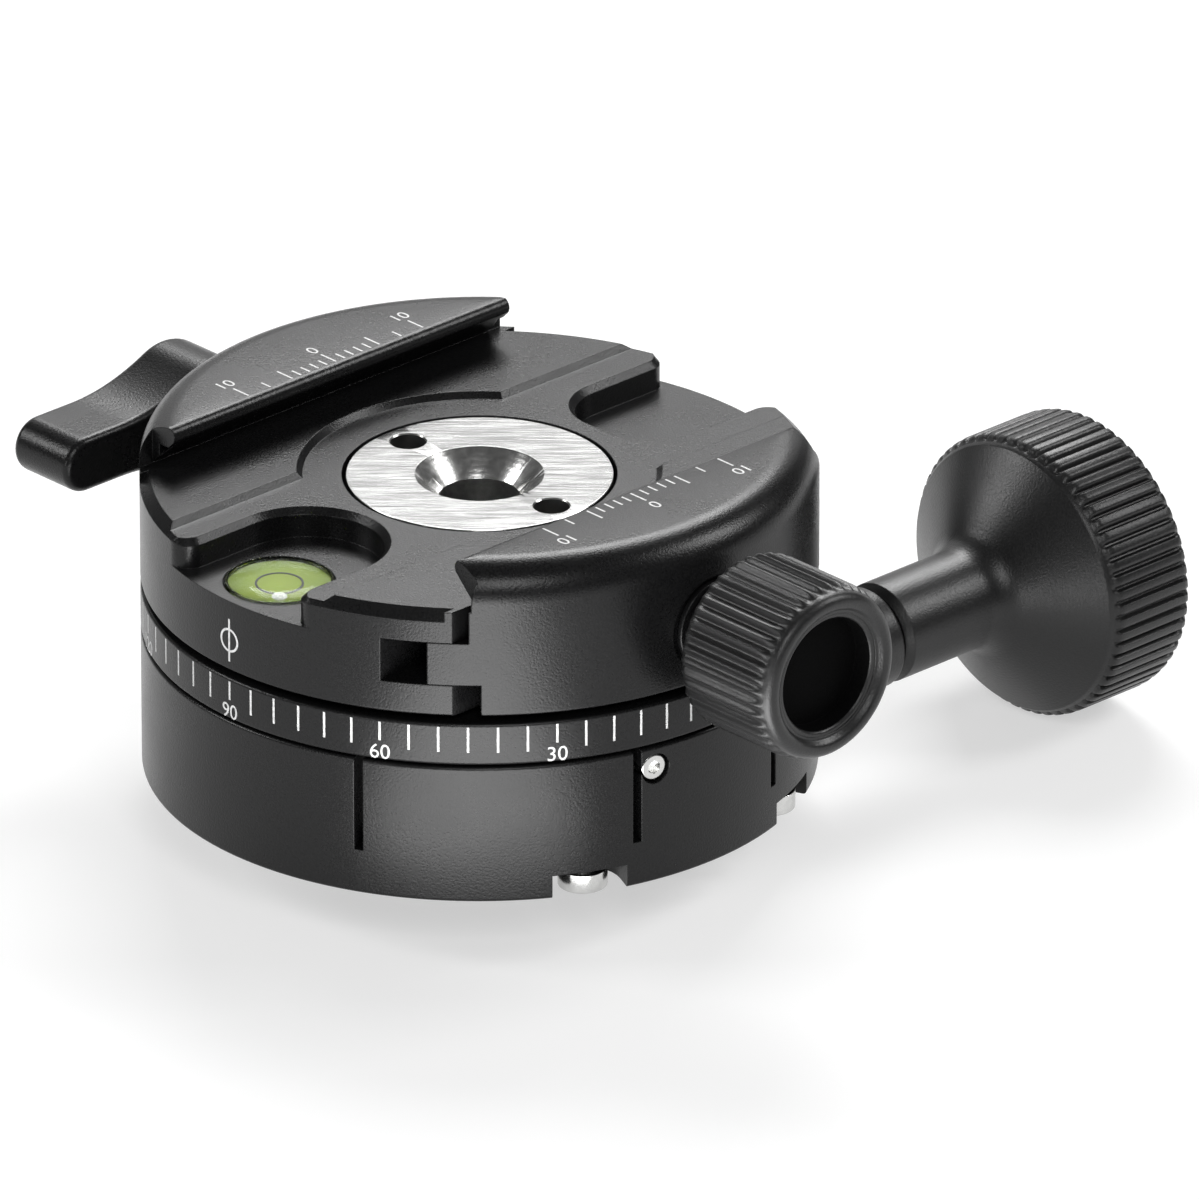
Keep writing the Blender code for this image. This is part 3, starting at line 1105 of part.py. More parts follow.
def pocket_outline(side, sizes, grow, height):
    """A pocket from its inner end to the outside; grow widens it all round."""
    half_width, start, corner = sizes
    half = half_width + grow
    radius = corner + grow
    inner = start - grow
    upper = [(side * x, y) for x, y in arc((inner + radius, half - radius), radius, 180, 90)]
    upper += pocket_mouth(half, side)
    lower = [(x, -y) for x, y in reversed(upper)]
    return [(x, y, height) for x, y in upper + lower]


def pocket_cutter(name, side, sizes):
    """A pocket's cutter: straight walls, and a bevel where they meet the bed."""
    shape = bmesh.new()
    bevel_foot = BED - POCKET_BEVEL
    levels = ((POCKET_FLOOR, 0.0), (bevel_foot, 0.0), (BED + OVERRUN, POCKET_BEVEL + OVERRUN))
    rings = []
    for height, grow in levels:
        outline = pocket_outline(side, sizes, grow, height)
        rings.append([shape.verts.new(point) for point in outline])
    bridge(shape, rings)
    return add_object(name, shape)


def level_pocket_cutter():
    """The round-ended pocket that holds the bubble level."""
    end_round = LEVEL_POCKET_HALF_WIDTH - HAIRLINE
    return pocket_cutter("level_pocket_cut", -1, (LEVEL_POCKET_HALF_WIDTH, LEVEL_POCKET_START, end_round))


def plain_pocket_cutter():
    """The matching pocket on the other side, a little narrower, with smaller corners."""
    sizes = (PLAIN_POCKET_HALF_WIDTH, PLAIN_POCKET_START, PLAIN_POCKET_ROUND)
    return pocket_cutter("plain_pocket_cut", 1, sizes)


def shoe_channel_cutter():
    """The channel that guides the brake shoe, open below and to the drum groove."""
    half = SHOE_HALF_WIDTH + FIT / 2
    near = HEAD_BOSS_RADIUS + OVERRUN
    far = LOCK_SCREW_TIP + SEAT_GAP
    foot = HEAD_BOTTOM - OVERRUN
    outline = [(-half, near, foot), (half, near, foot), (half, far, foot), (-half, far, foot)]
    return extruded("shoe_channel", outline, (0, 0, SHOE_TOP + SEAT_GAP - foot))


def hub_disc():
    """The bright disc that holds the head down: countersunk hole, two wrench holes, spigot."""
    spigot_end = DISC_BOTTOM - DISC_SPIGOT_LENGTH
    sink_end = BED - (COUNTERSINK_RADIUS - CENTRE_HOLE_RADIUS)
    outline = [
        (CENTRE_HOLE_RADIUS, spigot_end),
        (DISC_SPIGOT_RADIUS, spigot_end),
        (DISC_SPIGOT_RADIUS, DISC_BOTTOM),
        (DISC_RADIUS, DISC_BOTTOM),
        (DISC_RADIUS, BED),
        (COUNTERSINK_RADIUS, BED),
        (CENTRE_HOLE_RADIUS, sink_end),
    ]
    disc = turned("hub_disc", outline, DISC_STEPS, "bright_steel")
    for number, sign in enumerate((-1, 1)):
        centre = (0, sign * PIN_HOLE_OFFSET, 0)
        top = BED + OVERRUN
        drill(disc, f"wrench_hole_{number}", PIN_HOLE_RADIUS, HEAD_BOTTOM, top, "+Z", centre, TINY_STEPS)
    bottom = HUB_RECESS_FLOOR + FIT
    ring("hub_washer", HUB_WASHER_BORE_RADIUS, HUB_WASHER_RADIUS, bottom, bottom + HUB_WASHER, "nylon")
    bush_inner = SPINDLE_RADIUS + RUNNING_FIT
    bush_outer = HEAD_BORE_RADIUS - RUNNING_FIT
    bush_bottom = GEAR_TOP + SEAT_GAP
    ring("head_bush", bush_inner, bush_outer, bush_bottom, HUB_RECESS_FLOOR, "bronze")


def bubble_vial():
    """The round spirit level, sunk in its pocket."""
    top = POCKET_FLOOR + VIAL_PROUD
    shoulder = top - VIAL_DOME
    outline = [
        (0, POCKET_FLOOR - VIAL_DEPTH),
        (VIAL_RADIUS, POCKET_FLOOR - VIAL_DEPTH),
        (VIAL_RADIUS, shoulder),
        (VIAL_RADIUS - VIAL_DOME, top),
        (0, top),
    ]
    turned("bubble_vial", outline, SMALL_STEPS, "vial_green", "+Z", (VIAL_CENTRE_X, 0, 0))


# Sliding jaw and its clamp knob


def moving_jaw():
    """The sliding jaw: lip, tongues, and bores for the screw, springs and guide pins."""
    jaw = head_blank("moving_jaw", "black_anodised")
    wide = BODY_RADIUS + OVERRUN
    upper_face = BODY_FACE_Y + JAW_UPPER_GAP
    lower_face = BODY_FACE_Y + JAW_LOWER_GAP
    tongue_top = SLOT_TOP - SLIDE_FIT
    tongue_bottom = SLOT_BOTTOM + SLIDE_FIT
    root_height = FLANK_SUM + JAW_OPEN - upper_face
    section = [
        (lower_face, HEAD_BOTTOM - OVERRUN),
        (lower_face, tongue_bottom),
        (BODY_FACE_Y - TONGUE_REACH, tongue_bottom),
        (BODY_FACE_Y - TONGUE_REACH, tongue_top),
        (upper_face, tongue_top),
        (upper_face, root_height),
    ]
    section += lip_outline(JAW_OPEN)[1:]
    section += [(section[-1][0], JAW_TOP + OVERRUN)]
    section += [(wide, JAW_TOP + OVERRUN), (wide, HEAD_BOTTOM - OVERRUN)]
    points = [(-wide, -y, z) for y, z in section]
    combine(jaw, extruded("jaw_section", points, (2 * wide, 0, 0)), "INTERSECT")
    half = SLOT_START_X + SEAT_GAP
    near = BODY_FACE_Y - TONGUE_REACH - OVERRUN
    middle = [
        (-half, -near, SLOT_BOTTOM - SEAT_GAP),
        (half, -near, SLOT_BOTTOM - SEAT_GAP),
        (half, -upper_face, SLOT_BOTTOM - SEAT_GAP),
        (-half, -upper_face, SLOT_BOTTOM - SEAT_GAP),
    ]
    combine(jaw, extruded("tongue_gap", middle, (0, 0, SLOT_HEIGHT + 2 * SEAT_GAP)))
    for sign in (-1, 1):
        combine(jaw, lip_end_cutter(f"moving_lip_end_{sign}", sign, JAW_OPEN, -1))
        spring_line = (sign * SPRING_X, 0, CLAMP_HEIGHT)
        start = upper_face - OVERRUN
        end = upper_face + SPRING_JAW_DEPTH
        drill(jaw, f"spring_seat_{sign}", SPRING_POCKET_RADIUS, start, end, "-Y", spring_line, TINY_STEPS)
        pin_line = (sign * PIN_X, 0, CLAMP_HEIGHT)
        pin_bore = GUIDE_PIN_RADIUS + RUNNING_FIT
        pin_end = GUIDE_PIN_OUTER_Y + JAW_UPPER_GAP
        drill(jaw, f"pin_bore_{sign}", pin_bore, BODY_FACE_Y - OVERRUN, pin_end, "-Y", pin_line)
    clamp_line = (0, 0, CLAMP_HEIGHT)
    drill(jaw, "clamp_clearance", CLAMP_BORE_RADIUS, BODY_FACE_Y, wide, "-Y", clamp_line)
    drill(jaw, "clamp_spot_face", SPOT_FACE_RADIUS, SPOT_FACE_Y, wide, "-Y", clamp_line, MEDIUM_STEPS)
    return jaw


def guide_pins():
    """Two dowels fixed in the upper body, on which the jaw slides."""
    for side, sign in (("left", -1), ("right", 1)):
        outline = [
            (0, GUIDE_PIN_INNER_Y),
            (GUIDE_PIN_RADIUS, GUIDE_PIN_INNER_Y),
            (GUIDE_PIN_RADIUS, GUIDE_PIN_OUTER_Y),
            (0, GUIDE_PIN_OUTER_Y),
        ]
        origin = (sign * PIN_X, 0, CLAMP_HEIGHT)
        turned(f"guide_pin_{side}", outline, SMALL_STEPS, "bright_steel", "-Y", origin)


def jaw_springs():
    """Two coil springs that push the jaw open, each one unbroken helix of round wire."""
    start = SPRING_BODY_END_Y + SEAT_GAP + SPRING_WIRE_RADIUS
    end = BODY_FACE_Y + JAW_UPPER_GAP + SPRING_JAW_DEPTH - SEAT_GAP - SPRING_WIRE_RADIUS
    steps = SPRING_TURNS * SPRING_STEPS
    for side, sign in (("left", -1), ("right", 1)):
        shape = bmesh.new()
        rings = []
        for step in range(steps + 1):
            angle = 2 * math.pi * step / SPRING_STEPS
            outward = Vector((math.cos(angle), math.sin(angle), 0))
            middle = outward * SPRING_COIL_RADIUS + Vector((0, 0, start + (end - start) * step / steps))
            ring_points = []
            for corner in range(SPRING_WIRE_SIDES):
                turn = 2 * math.pi * corner / SPRING_WIRE_SIDES
                offset = outward * math.cos(turn) + Vector((0, 0, math.sin(turn)))
                ring_points.append(shape.verts.new(middle + offset * SPRING_WIRE_RADIUS))
            rings.append(ring_points)
        bridge(shape, rings)
        spring = add_object(f"jaw_spring_{side}", shape, "spring_steel")
        spring.matrix_world = along("-Y", (sign * SPRING_X, 0, CLAMP_HEIGHT))
    pitch = (end - start) / SPRING_TURNS
    print(f"jaw spring: least gap between turns {(pitch - 2 * SPRING_WIRE_RADIUS) / MM:.2f} mm")


def clamp_knob():
    """The small fluted knob, its screw and its washer."""
    clamp_line = (0, 0, CLAMP_HEIGHT)
    washer_start = SPOT_FACE_Y + SEAT_GAP
    washer_end = washer_start + CLAMP_WASHER_THICKNESS
    bore = CLAMP_SCREW_RADIUS + FIT
    washer = [
        (bore + FIT, washer_start),
        (CLAMP_WASHER_RADIUS, washer_start),
        (CLAMP_WASHER_RADIUS, washer_end),
        (bore + FIT, washer_end),
    ]
    turned("clamp_washer", washer, SMALL_STEPS, "bright_steel", "-Y", clamp_line)
    collar_start = washer_end + SEAT_GAP
    core = CLAMP_KNOB_RADIUS - FLUTE_DEPTH - FIT
    dish_floor = CLAMP_KNOB_END - CLAMP_DISH_DEPTH
    screw_end = CLAMP_KNURL_START + CLAMP_SCREW_IN_KNOB
    crown = arc((core - CLAMP_KNOB_ROUND, CLAMP_KNOB_END - CLAMP_KNOB_ROUND), CLAMP_KNOB_ROUND, 0, 90, 4)
    outline = [
        (bore, collar_start),
        (CLAMP_COLLAR_RADIUS, collar_start),
        (CLAMP_COLLAR_RADIUS, CLAMP_KNURL_START + FIT),
        (core, CLAMP_KNURL_START + FIT),
    ]
    outline += crown
    outline += [
        (CLAMP_DISH_RADIUS, CLAMP_KNOB_END),
        (CLAMP_DISH_RADIUS - FIT, dish_floor),
        (0, dish_floor),
        (0, screw_end + SEAT_GAP),
        (bore, screw_end + SEAT_GAP),
    ]
    knob = turned("clamp_knob", outline, MEDIUM_STEPS, "black_anodised", "-Y", clamp_line)
    band_end = CLAMP_KNOB_END - CLAMP_KNOB_ROUND
    shape = (CLAMP_KNOB_RADIUS, CLAMP_KNOB_FLUTES, CLAMP_KNURL_START, band_end)
    band = knurled_band("clamp_knurl", *shape, "-Y", clamp_line)
    hollow = CLAMP_DISH_RADIUS + FIT
    drill(band, "clamp_core", hollow, 0, CLAMP_KNOB_END + OVERRUN, "-Y", clamp_line, MEDIUM_STEPS)
    combine(knob, band, "UNION")
    screw = [
        (0, CLAMP_SCREW_TIP_Y),
        (CLAMP_SCREW_RADIUS, CLAMP_SCREW_TIP_Y),
        (CLAMP_SCREW_RADIUS, screw_end),
        (0, screw_end),
    ]
    turned("clamp_screw", screw, SMALL_STEPS, "bright_steel", "-Y", clamp_line)


# Pan lock


def lever_outline():
    """The lever's outline: a round hub that draws in to a paddle with a rounded tip."""
    start_angle = math.degrees(math.acos(-LEVER_BLEND_START / LEVER_HUB_RADIUS))
    hub = arc((0, 0), LEVER_HUB_RADIUS, -start_angle, start_angle, 3 * ARC_STEPS)
    hub_edge = LEVER_HUB_RADIUS * math.sin(math.radians(start_angle))
    upper = []
    for step in range(1, ARC_STEPS + 2):
        share = step / (ARC_STEPS + 1)
        ease = share * (2 - share)
        across = -LEVER_BLEND_START - (LEVER_BLEND_END - LEVER_BLEND_START) * share
        upper.append((across, hub_edge + (LEVER_HALF_THICKNESS - hub_edge) * ease))
    tip_centre = LEVER_HALF_THICKNESS - LEVER_REACH
    tip = arc((tip_centre, 0), LEVER_HALF_THICKNESS, 90, 270, 2 * ARC_STEPS)
    lower = [(x, -z) for x, z in reversed(upper)]
    return hub + upper + tip + lower


def lock_lever():
    """The lock lever with its neck, the lock screw and the screw in its hub."""
    lock_line = (0, 0, LEVER_HEIGHT)
    lever_end = LEVER_START + LEVER_WIDTH
    rounding = LEVER_EDGE_ROUND
    outline = lever_outline()
    shape = bmesh.new()
    levels = (
        (LEVER_START, rounding / 2),
        (LEVER_START + rounding, 0.0),
        (lever_end - rounding, 0.0),
        (lever_end, rounding / 2),
    )
    rings = []
    for station, inset in levels:
        points = inset_outline(outline, inset)
        rings.append([shape.verts.new((x, station, z + LEVER_HEIGHT)) for x, z in points])
    bridge(shape, rings)
    lever = add_object("lock_lever", shape, "black_anodised")
    neck_end = LEVER_START + rounding
    neck = [(0, LEVER_NECK_START), (LEVER_NECK_RADIUS, LEVER_NECK_START)]
    neck += [(LEVER_NECK_RADIUS, neck_end), (0, neck_end)]
    combine(lever, turned("lever_neck", neck, SMALL_STEPS, None, "+Y", lock_line), "UNION")
    screw_bore = LOCK_SCREW_RADIUS + FIT
    screw_end = LEVER_START + LOCK_SCREW_IN_LEVER
    bore = (screw_bore, LEVER_NECK_START - OVERRUN, screw_end + SEAT_GAP)
    drill(lever, "lever_bore", *bore, "+Y", lock_line)
    head_floor = lever_end - LEVER_SCREW_RECESS
    head_bore = (LEVER_SCREW_HEAD_RADIUS + FIT, head_floor, lever_end + OVERRUN)
    drill(lever, "lever_head_bore", *head_bore, "+Y", lock_line)
    shank_bore = (LEVER_SCREW_SHANK_RADIUS + FIT, LEVER_START, lever_end)
    drill(lever, "lever_shank_bore", *shank_bore, "+Y", lock_line, TINY_STEPS)
    screw = [
        (0, LOCK_SCREW_TIP),
        (LOCK_SCREW_RADIUS, LOCK_SCREW_TIP),
        (LOCK_SCREW_RADIUS, screw_end),
        (0, screw_end),
    ]
    lock_screw = turned("lock_screw", screw, SMALL_STEPS, "bright_steel", "+Y", lock_line)
    tap_start = screw_end - LEVER_SCREW_REACH
    tap = (LEVER_SCREW_SHANK_RADIUS + FIT, tap_start, screw_end + OVERRUN)
    drill(lock_screw, "lock_tap", *tap, "+Y", lock_line, TINY_STEPS)
    head_top = lever_end - FIT
    cap = [
        (0, tap_start + SEAT_GAP),
        (LEVER_SCREW_SHANK_RADIUS, tap_start + SEAT_GAP),
        (LEVER_SCREW_SHANK_RADIUS, head_floor + FIT),
        (LEVER_SCREW_HEAD_RADIUS, head_floor + FIT),
        (LEVER_SCREW_HEAD_RADIUS, head_top),
        (SCREW_SOCKET_RADIUS, head_top),
        (SCREW_SOCKET_RADIUS, head_top - SCREW_SOCKET_DEPTH),
        (0, head_top - SCREW_SOCKET_DEPTH),
    ]
    turned("lever_screw", cap, TINY_STEPS, "bright_steel", "+Y", lock_line)


def inset_outline(outline, distance):
    """A closed outline moved inwards by a distance, point by point."""
    count = len(outline)
    moved = []
    for index in range(count):
        before = Vector(outline[index - 1])
        here = Vector(outline[index])
        after = Vector(outline[(index + 1) % count])
        along_edge = (after - before).normalized()
        inward = Vector((-along_edge.y, along_edge.x))
        moved.append(tuple(here + inward * distance))
    return moved


def brake_shoe():
    """The shoe that the lock screw presses on the gear's drum."""
    half = SHOE_HALF_WIDTH
    lean = math.degrees(math.asin(half / SHOE_FRONT_RADIUS))
    front = arc((0, 0), SHOE_FRONT_RADIUS, 90 + lean, 90 - lean, 4)
    back = LOCK_SCREW_TIP - SEAT_GAP
    outline = front + [(half, back), (-half, back)]
    points = [(x, y, SHOE_BOTTOM) for x, y in outline]
    extruded("brake_shoe", points, (0, 0, SHOE_TOP - SHOE_BOTTOM), "bronze")


def build():
    """Model every piece in the order that the object is put together."""
    clear_scene()
    base_housing()
    bottom_plate()
    spindle()
    notch_screws()
    mesh_set_screw()
    degree_ring()
    thrust_washer()
    gear_wheel()
    worm_shaft()
    worm_knob()
    upper_body()
    hub_disc()
    bubble_vial()
    moving_jaw()
    guide_pins()
    jaw_springs()
    clamp_knob()
    lock_lever()
    brake_shoe()


build()
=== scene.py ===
"""Looks of a round geared panning base for a tripod, with a dovetail clamp on its top.

The sections follow the object as it is put together: base, degree ring, worm drive, head,
sliding jaw, clamp knob and lock lever. Metres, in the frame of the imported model.
"""

import math

import bmesh
import bpy
from mathutils import Matrix, Vector


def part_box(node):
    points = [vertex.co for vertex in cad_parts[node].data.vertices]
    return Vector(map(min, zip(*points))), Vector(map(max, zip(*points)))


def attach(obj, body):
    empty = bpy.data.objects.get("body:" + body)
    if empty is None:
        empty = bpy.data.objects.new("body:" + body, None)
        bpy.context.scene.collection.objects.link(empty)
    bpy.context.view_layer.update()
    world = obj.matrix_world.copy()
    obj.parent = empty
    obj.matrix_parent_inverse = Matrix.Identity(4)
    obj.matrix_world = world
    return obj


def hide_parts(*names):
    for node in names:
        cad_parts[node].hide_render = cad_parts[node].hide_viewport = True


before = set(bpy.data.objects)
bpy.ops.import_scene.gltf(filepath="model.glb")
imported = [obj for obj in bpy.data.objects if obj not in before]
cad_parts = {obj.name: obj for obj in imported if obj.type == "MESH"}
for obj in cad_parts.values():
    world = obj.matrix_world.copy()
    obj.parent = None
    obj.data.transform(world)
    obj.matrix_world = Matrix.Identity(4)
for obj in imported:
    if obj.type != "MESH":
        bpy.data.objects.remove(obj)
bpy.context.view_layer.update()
MM = 0.001


# Camera, floor and lamps
# A pale, faintly glowing table in a plain studio, with a small plinth under the base because the
# large knob hangs lower. The camera stands two metres off with a long lens, large soft lamps give
# the satin black its sheen, and one lamp that lies on the table draws the streak up the wall.

CAMERA_AZIMUTH = -43.3
CAMERA_ELEVATION = 25.3
CAMERA_DISTANCE = 2000 * MM
FRAME_HEIGHT = 101.1 * MM
SENSOR = 36.0
AIM_RIGHT = 10.05 * MM
AIM_UP = 12.98 * MM
FLOOR_SIZE = 6000 * MM
FLOOR_HEIGHT = -5.6 * MM
PLINTH_RADIUS = 15.5 * MM
FLOOR_COLOUR = (0.5, 0.5, 0.5, 1.0)
FLOOR_GLOW = 0.55
WORLD_STRENGTH = 0.08
TABLE_LAMP_AZIMUTH = -45


def facing(azimuth, elevation):
    """The way towards a place round the object, in degrees; azimuth 0 is the -Y side."""
    turn, rise = math.radians(azimuth), math.radians(elevation)
    level = math.cos(rise)
    return Vector((math.sin(turn) * level, -math.cos(turn) * level, math.sin(rise)))


def placed(name, data):
    """A new object in the scene, made of the given data."""
    made = bpy.data.objects.new(name, data)
    bpy.context.scene.collection.objects.link(made)
    return made


backwards = facing(CAMERA_AZIMUTH, CAMERA_ELEVATION)
looking = (-backwards).to_track_quat("-Z", "Y")
camera = placed("camera", bpy.data.cameras.new("camera"))
camera.data.sensor_width = SENSOR
camera.data.lens = SENSOR * CAMERA_DISTANCE / FRAME_HEIGHT
camera.data.clip_start = 0.1
camera.data.clip_end = 20.0
aim = looking @ Vector((AIM_RIGHT, AIM_UP, 0))
camera.location = aim + backwards * CAMERA_DISTANCE
camera.rotation_mode = "QUATERNION"
camera.rotation_quaternion = looking
bpy.context.scene.camera = camera
bpy.context.scene.view_settings.view_transform = "Standard"


def wired(tree, kind, *values, **named):
    """A node fed in order, then by name, with outputs or values; small names are its settings."""
    made = tree.nodes.new(kind)
    for label, value in named.items():
        if label[0].islower():
            setattr(made, label, value)
    feeds = list(zip([socket for socket in made.inputs if socket.enabled], values))
    for label, value in named.items():
        if label[0].isupper():
            feeds.append((made.inputs[label.replace("_", " ")], value))
    for socket, value in feeds:
        if isinstance(value, bpy.types.NodeSocket):
            tree.links.new(value, socket)
        elif value is not None:
            socket.default_value = value
    return [socket for socket in made.outputs if socket.enabled][0]


def surface(name, **values):
    """A new material with plain values on its shader, and each point's place on the object."""
    made = bpy.data.materials.new(name)
    made.use_nodes = True
    shader = made.node_tree.nodes["Principled BSDF"]
    for label, value in values.items():
        shader.inputs[label.replace("_", " ")].default_value = value
    place = wired(made.node_tree, "ShaderNodeTexCoord").node.outputs["Object"]
    return made, made.node_tree, shader, place


def fed(shader, **feeds):
    """Link outputs to a shader's named sockets."""
    for label, output in feeds.items():
        shader.id_data.links.new(output, shader.inputs[label.replace("_", " ")])


def worked(tree, operation, *values):
    """A number that a math node works out from others."""
    return wired(tree, "ShaderNodeMath", *values, operation=operation)


def seen_directly(tree, strength):
    """The strength for what looks at a surface, and nothing for the light that it bounces."""
    ray = wired(tree, "ShaderNodeLightPath").node
    total = ray.outputs["Is Camera Ray"]
    for name in ("Is Glossy Ray", "Is Transmission Ray"):
        total = worked(tree, "MAXIMUM", total, ray.outputs[name])
    return worked(tree, "MULTIPLY", total, strength)


def rectangle(left, right, near, far):
    """The four corners of a rectangle, in their order round it."""
    return [(left, near), (right, near), (right, far), (left, far)]


floor_paint, floor_tree, floor_shader, _ = surface(
    "pale_table",
    Base_Color=FLOOR_COLOUR,
    Roughness=0.9,
    Specular_IOR_Level=0.0,
    Emission_Color=(1.0, 1.0, 1.0, 1.0),
)
fed(floor_shader, Emission_Strength=seen_directly(floor_tree, FLOOR_GLOW))
reach = FLOOR_SIZE / 2
square = rectangle(-reach, reach, -reach, reach)
floor_mesh = bpy.data.meshes.new("table_top")
floor_mesh.from_pydata([(x, y, FLOOR_HEIGHT) for x, y in square], [], [(0, 1, 2, 3)])
plinth_shape = bmesh.new()
plinth_height = -FLOOR_HEIGHT - 0.05 * MM
plinth_middle = Matrix.Translation((0, 0, FLOOR_HEIGHT + plinth_height / 2))
bmesh.ops.create_cone(
    plinth_shape,
    cap_ends=True,
    segments=64,
    radius1=PLINTH_RADIUS,
    radius2=PLINTH_RADIUS,
    depth=plinth_height,
    matrix=plinth_middle,
)
plinth_mesh = bpy.data.meshes.new("plinth")
plinth_shape.to_mesh(plinth_mesh)
plinth_shape.free()
for mesh in (floor_mesh, plinth_mesh):
    mesh.materials.append(floor_paint)
    placed(mesh.name, mesh)

world = bpy.data.worlds.new("studio")
world.use_nodes = True
sky = world.node_tree.nodes["Background"]
sky.inputs["Color"].default_value = (1.0, 1.0, 1.0, 1.0)
ray = wired(world.node_tree, "ShaderNodeLightPath").node.outputs["Is Camera Ray"]
fed(sky, Strength=worked(world.node_tree, "MAXIMUM", ray, WORLD_STRENGTH))
bpy.context.scene.world = world


def soft_lamp(name, azimuth, elevation, distance, width, height, radiance):
    """A rectangular soft lamp that faces the object."""
    lamp = bpy.data.lights.new(name, "AREA")
    lamp.shape = "RECTANGLE"
    lamp.size = width
    lamp.size_y = height
    lamp.energy = radiance * math.pi * width * height
    holder = placed(name, lamp)
    towards = facing(azimuth, elevation)
    holder.location = towards * distance
    holder.rotation_mode = "QUATERNION"
    holder.rotation_quaternion = towards.to_track_quat("Z", "Y")
    return holder


soft_lamp("key_lamp", 131, 46, 0.9, 0.44, 0.34, 12.0)
soft_lamp("far_lamp", 138, 27, 0.55, 0.62, 0.38, 0.85)
soft_lamp("left_lamp", -138, 32, 0.9, 0.26, 0.28, 11.0)
soft_lamp("high_lamp", -36, 40, 0.9, 0.34, 0.34, 6.5)
soft_lamp("right_lamp", 54, 38, 0.9, 0.26, 0.32, 11.0)
soft_lamp("front_lamp", -88, 12, 0.9, 0.14, 0.16, 11.0)
table_lamp = soft_lamp("table_lamp", TABLE_LAMP_AZIMUTH, -3, 0.13, 0.05, 0.17, 7.5)
table_lamp.location.z = FLOOR_HEIGHT + 0.4 * MM
lying = Matrix.Rotation(math.radians(TABLE_LAMP_AZIMUTH), 3, "Z") @ Matrix.Rotation(math.pi, 3, "X")
table_lamp.rotation_quaternion = lying.to_quaternion()
table_lamp.visible_camera = False


# Base housing
# The real one is turned from aluminium, bead blasted and anodised black. Three thin slits make
# its worm mount springy, and two notches in the bottom edge hold screws that clamp it.

BODY_RADIUS = 28.5 * MM
BASE_HEIGHT = 12.4 * MM
ROUNDING = 0.3 * MM
PLATE_SEAT = 20.8 * MM
PLATE_SEAT_TOP = 2.5 * MM
CAVITY_RADIUS = 15.2 * MM
RING_SEAT = 21.1 * MM
RING_SEAT_FLOOR = 11.6 * MM
HOUSING_STEPS = 240
SLIT_WIDTH = 0.8 * MM
SLIT_DEPTH = 2.6 * MM
SLIT_FOOT = 4.0 * MM
SLIT_ANGLES = (-153.8, -105.7, -73.7)
NOTCH_ANGLES = (-114.2, -65.8)
NOTCH_HALF_WIDTH = 3.3 * MM
NOTCH_HEIGHT = 2.1 * MM
NOTCH_CENTRE = 26.4 * MM
MESH_SCREW_ANGLE = -102.2
MESH_SCREW_HEIGHT = 10.4 * MM
EDGE_BREAK = 0.14 * MM
SAME_SPOT = 0.012 * MM
BLAST_GRAIN = 5200
CLOUD_GRAIN = BLAST_GRAIN / 40
WORM_LINE = (0, -16.6 * MM, 7.1 * MM)
SLEEVE_OPENING = 4.5 * MM
SLEEVE_OPENING_START = 16.2 * MM
WORM_BORE = 3.6 * MM
WORM_BORE_START = -13.4 * MM
MESH_BORE = 1.35 * MM
OVERRUN = 2.0 * MM
WIDE = BODY_RADIUS + OVERRUN


def arc(centre, radius, start, end, steps):
    """Points of a circular arc between two angles in degrees."""
    points = []
    for step in range(steps + 1):
        angle = math.radians(start + (end - start) * step / steps)
        points.append((centre[0] + radius * math.cos(angle), centre[1] + radius * math.sin(angle)))
    return points


def eased(*corners, steps=4):
    """A closed outline of (across, along, rounding) with each corner rounded as it asks."""
    points = []
    count = len(corners)
    for index, (across, along, rounding) in enumerate(corners):
        here = Vector((across, along))
        if not rounding:
            points.append((across, along))
            continue
        before = (Vector(corners[index - 1][:2]) - here).normalized()
        after = (Vector(corners[(index + 1) % count][:2]) - here).normalized()
        half = before.angle(after) / 2
        centre = here + (before + after).normalized() * (rounding / math.sin(half))
        first = here + before * (rounding / math.tan(half)) - centre
        last = here + after * (rounding / math.tan(half)) - centre
        sweep = first.angle_signed(last)
        for step in range(steps + 1):
            turned = Matrix.Rotation(-sweep * step / steps, 2) @ first
            points.append(tuple(centre + turned))
    return points


def laid(axis, origin=(0, 0, 0)):
    """The matrix that lays local +Z along an axis from an origin."""
    turns = {
        "+X": Matrix.Rotation(math.pi / 2, 4, "Y"),
        "+Y": Matrix.Rotation(-math.pi / 2, 4, "X"),
        "-Y": Matrix.Rotation(math.pi / 2, 4, "X"),
        "+Z": Matrix.Identity(4),
        "-Z": Matrix.Rotation(math.pi, 4, "X"),
    }
    return Matrix.Translation(Vector(origin)) @ turns[axis]


def shaded(mesh, sharp):
    """Shade a mesh smooth, apart from edges that are sharper than an angle."""
    mesh.shade_smooth()
    mesh.set_sharp_from_angle(angle=math.radians(sharp))


def finished(name, shape, sharp=35):
    """Turn a bmesh into a smooth-shaded object whose faces point outwards."""
    bmesh.ops.recalc_face_normals(shape, faces=shape.faces)
    mesh = bpy.data.meshes.new(name)
    shape.to_mesh(mesh)
    shape.free()
    shaded(mesh, sharp)
    return placed(name, mesh)


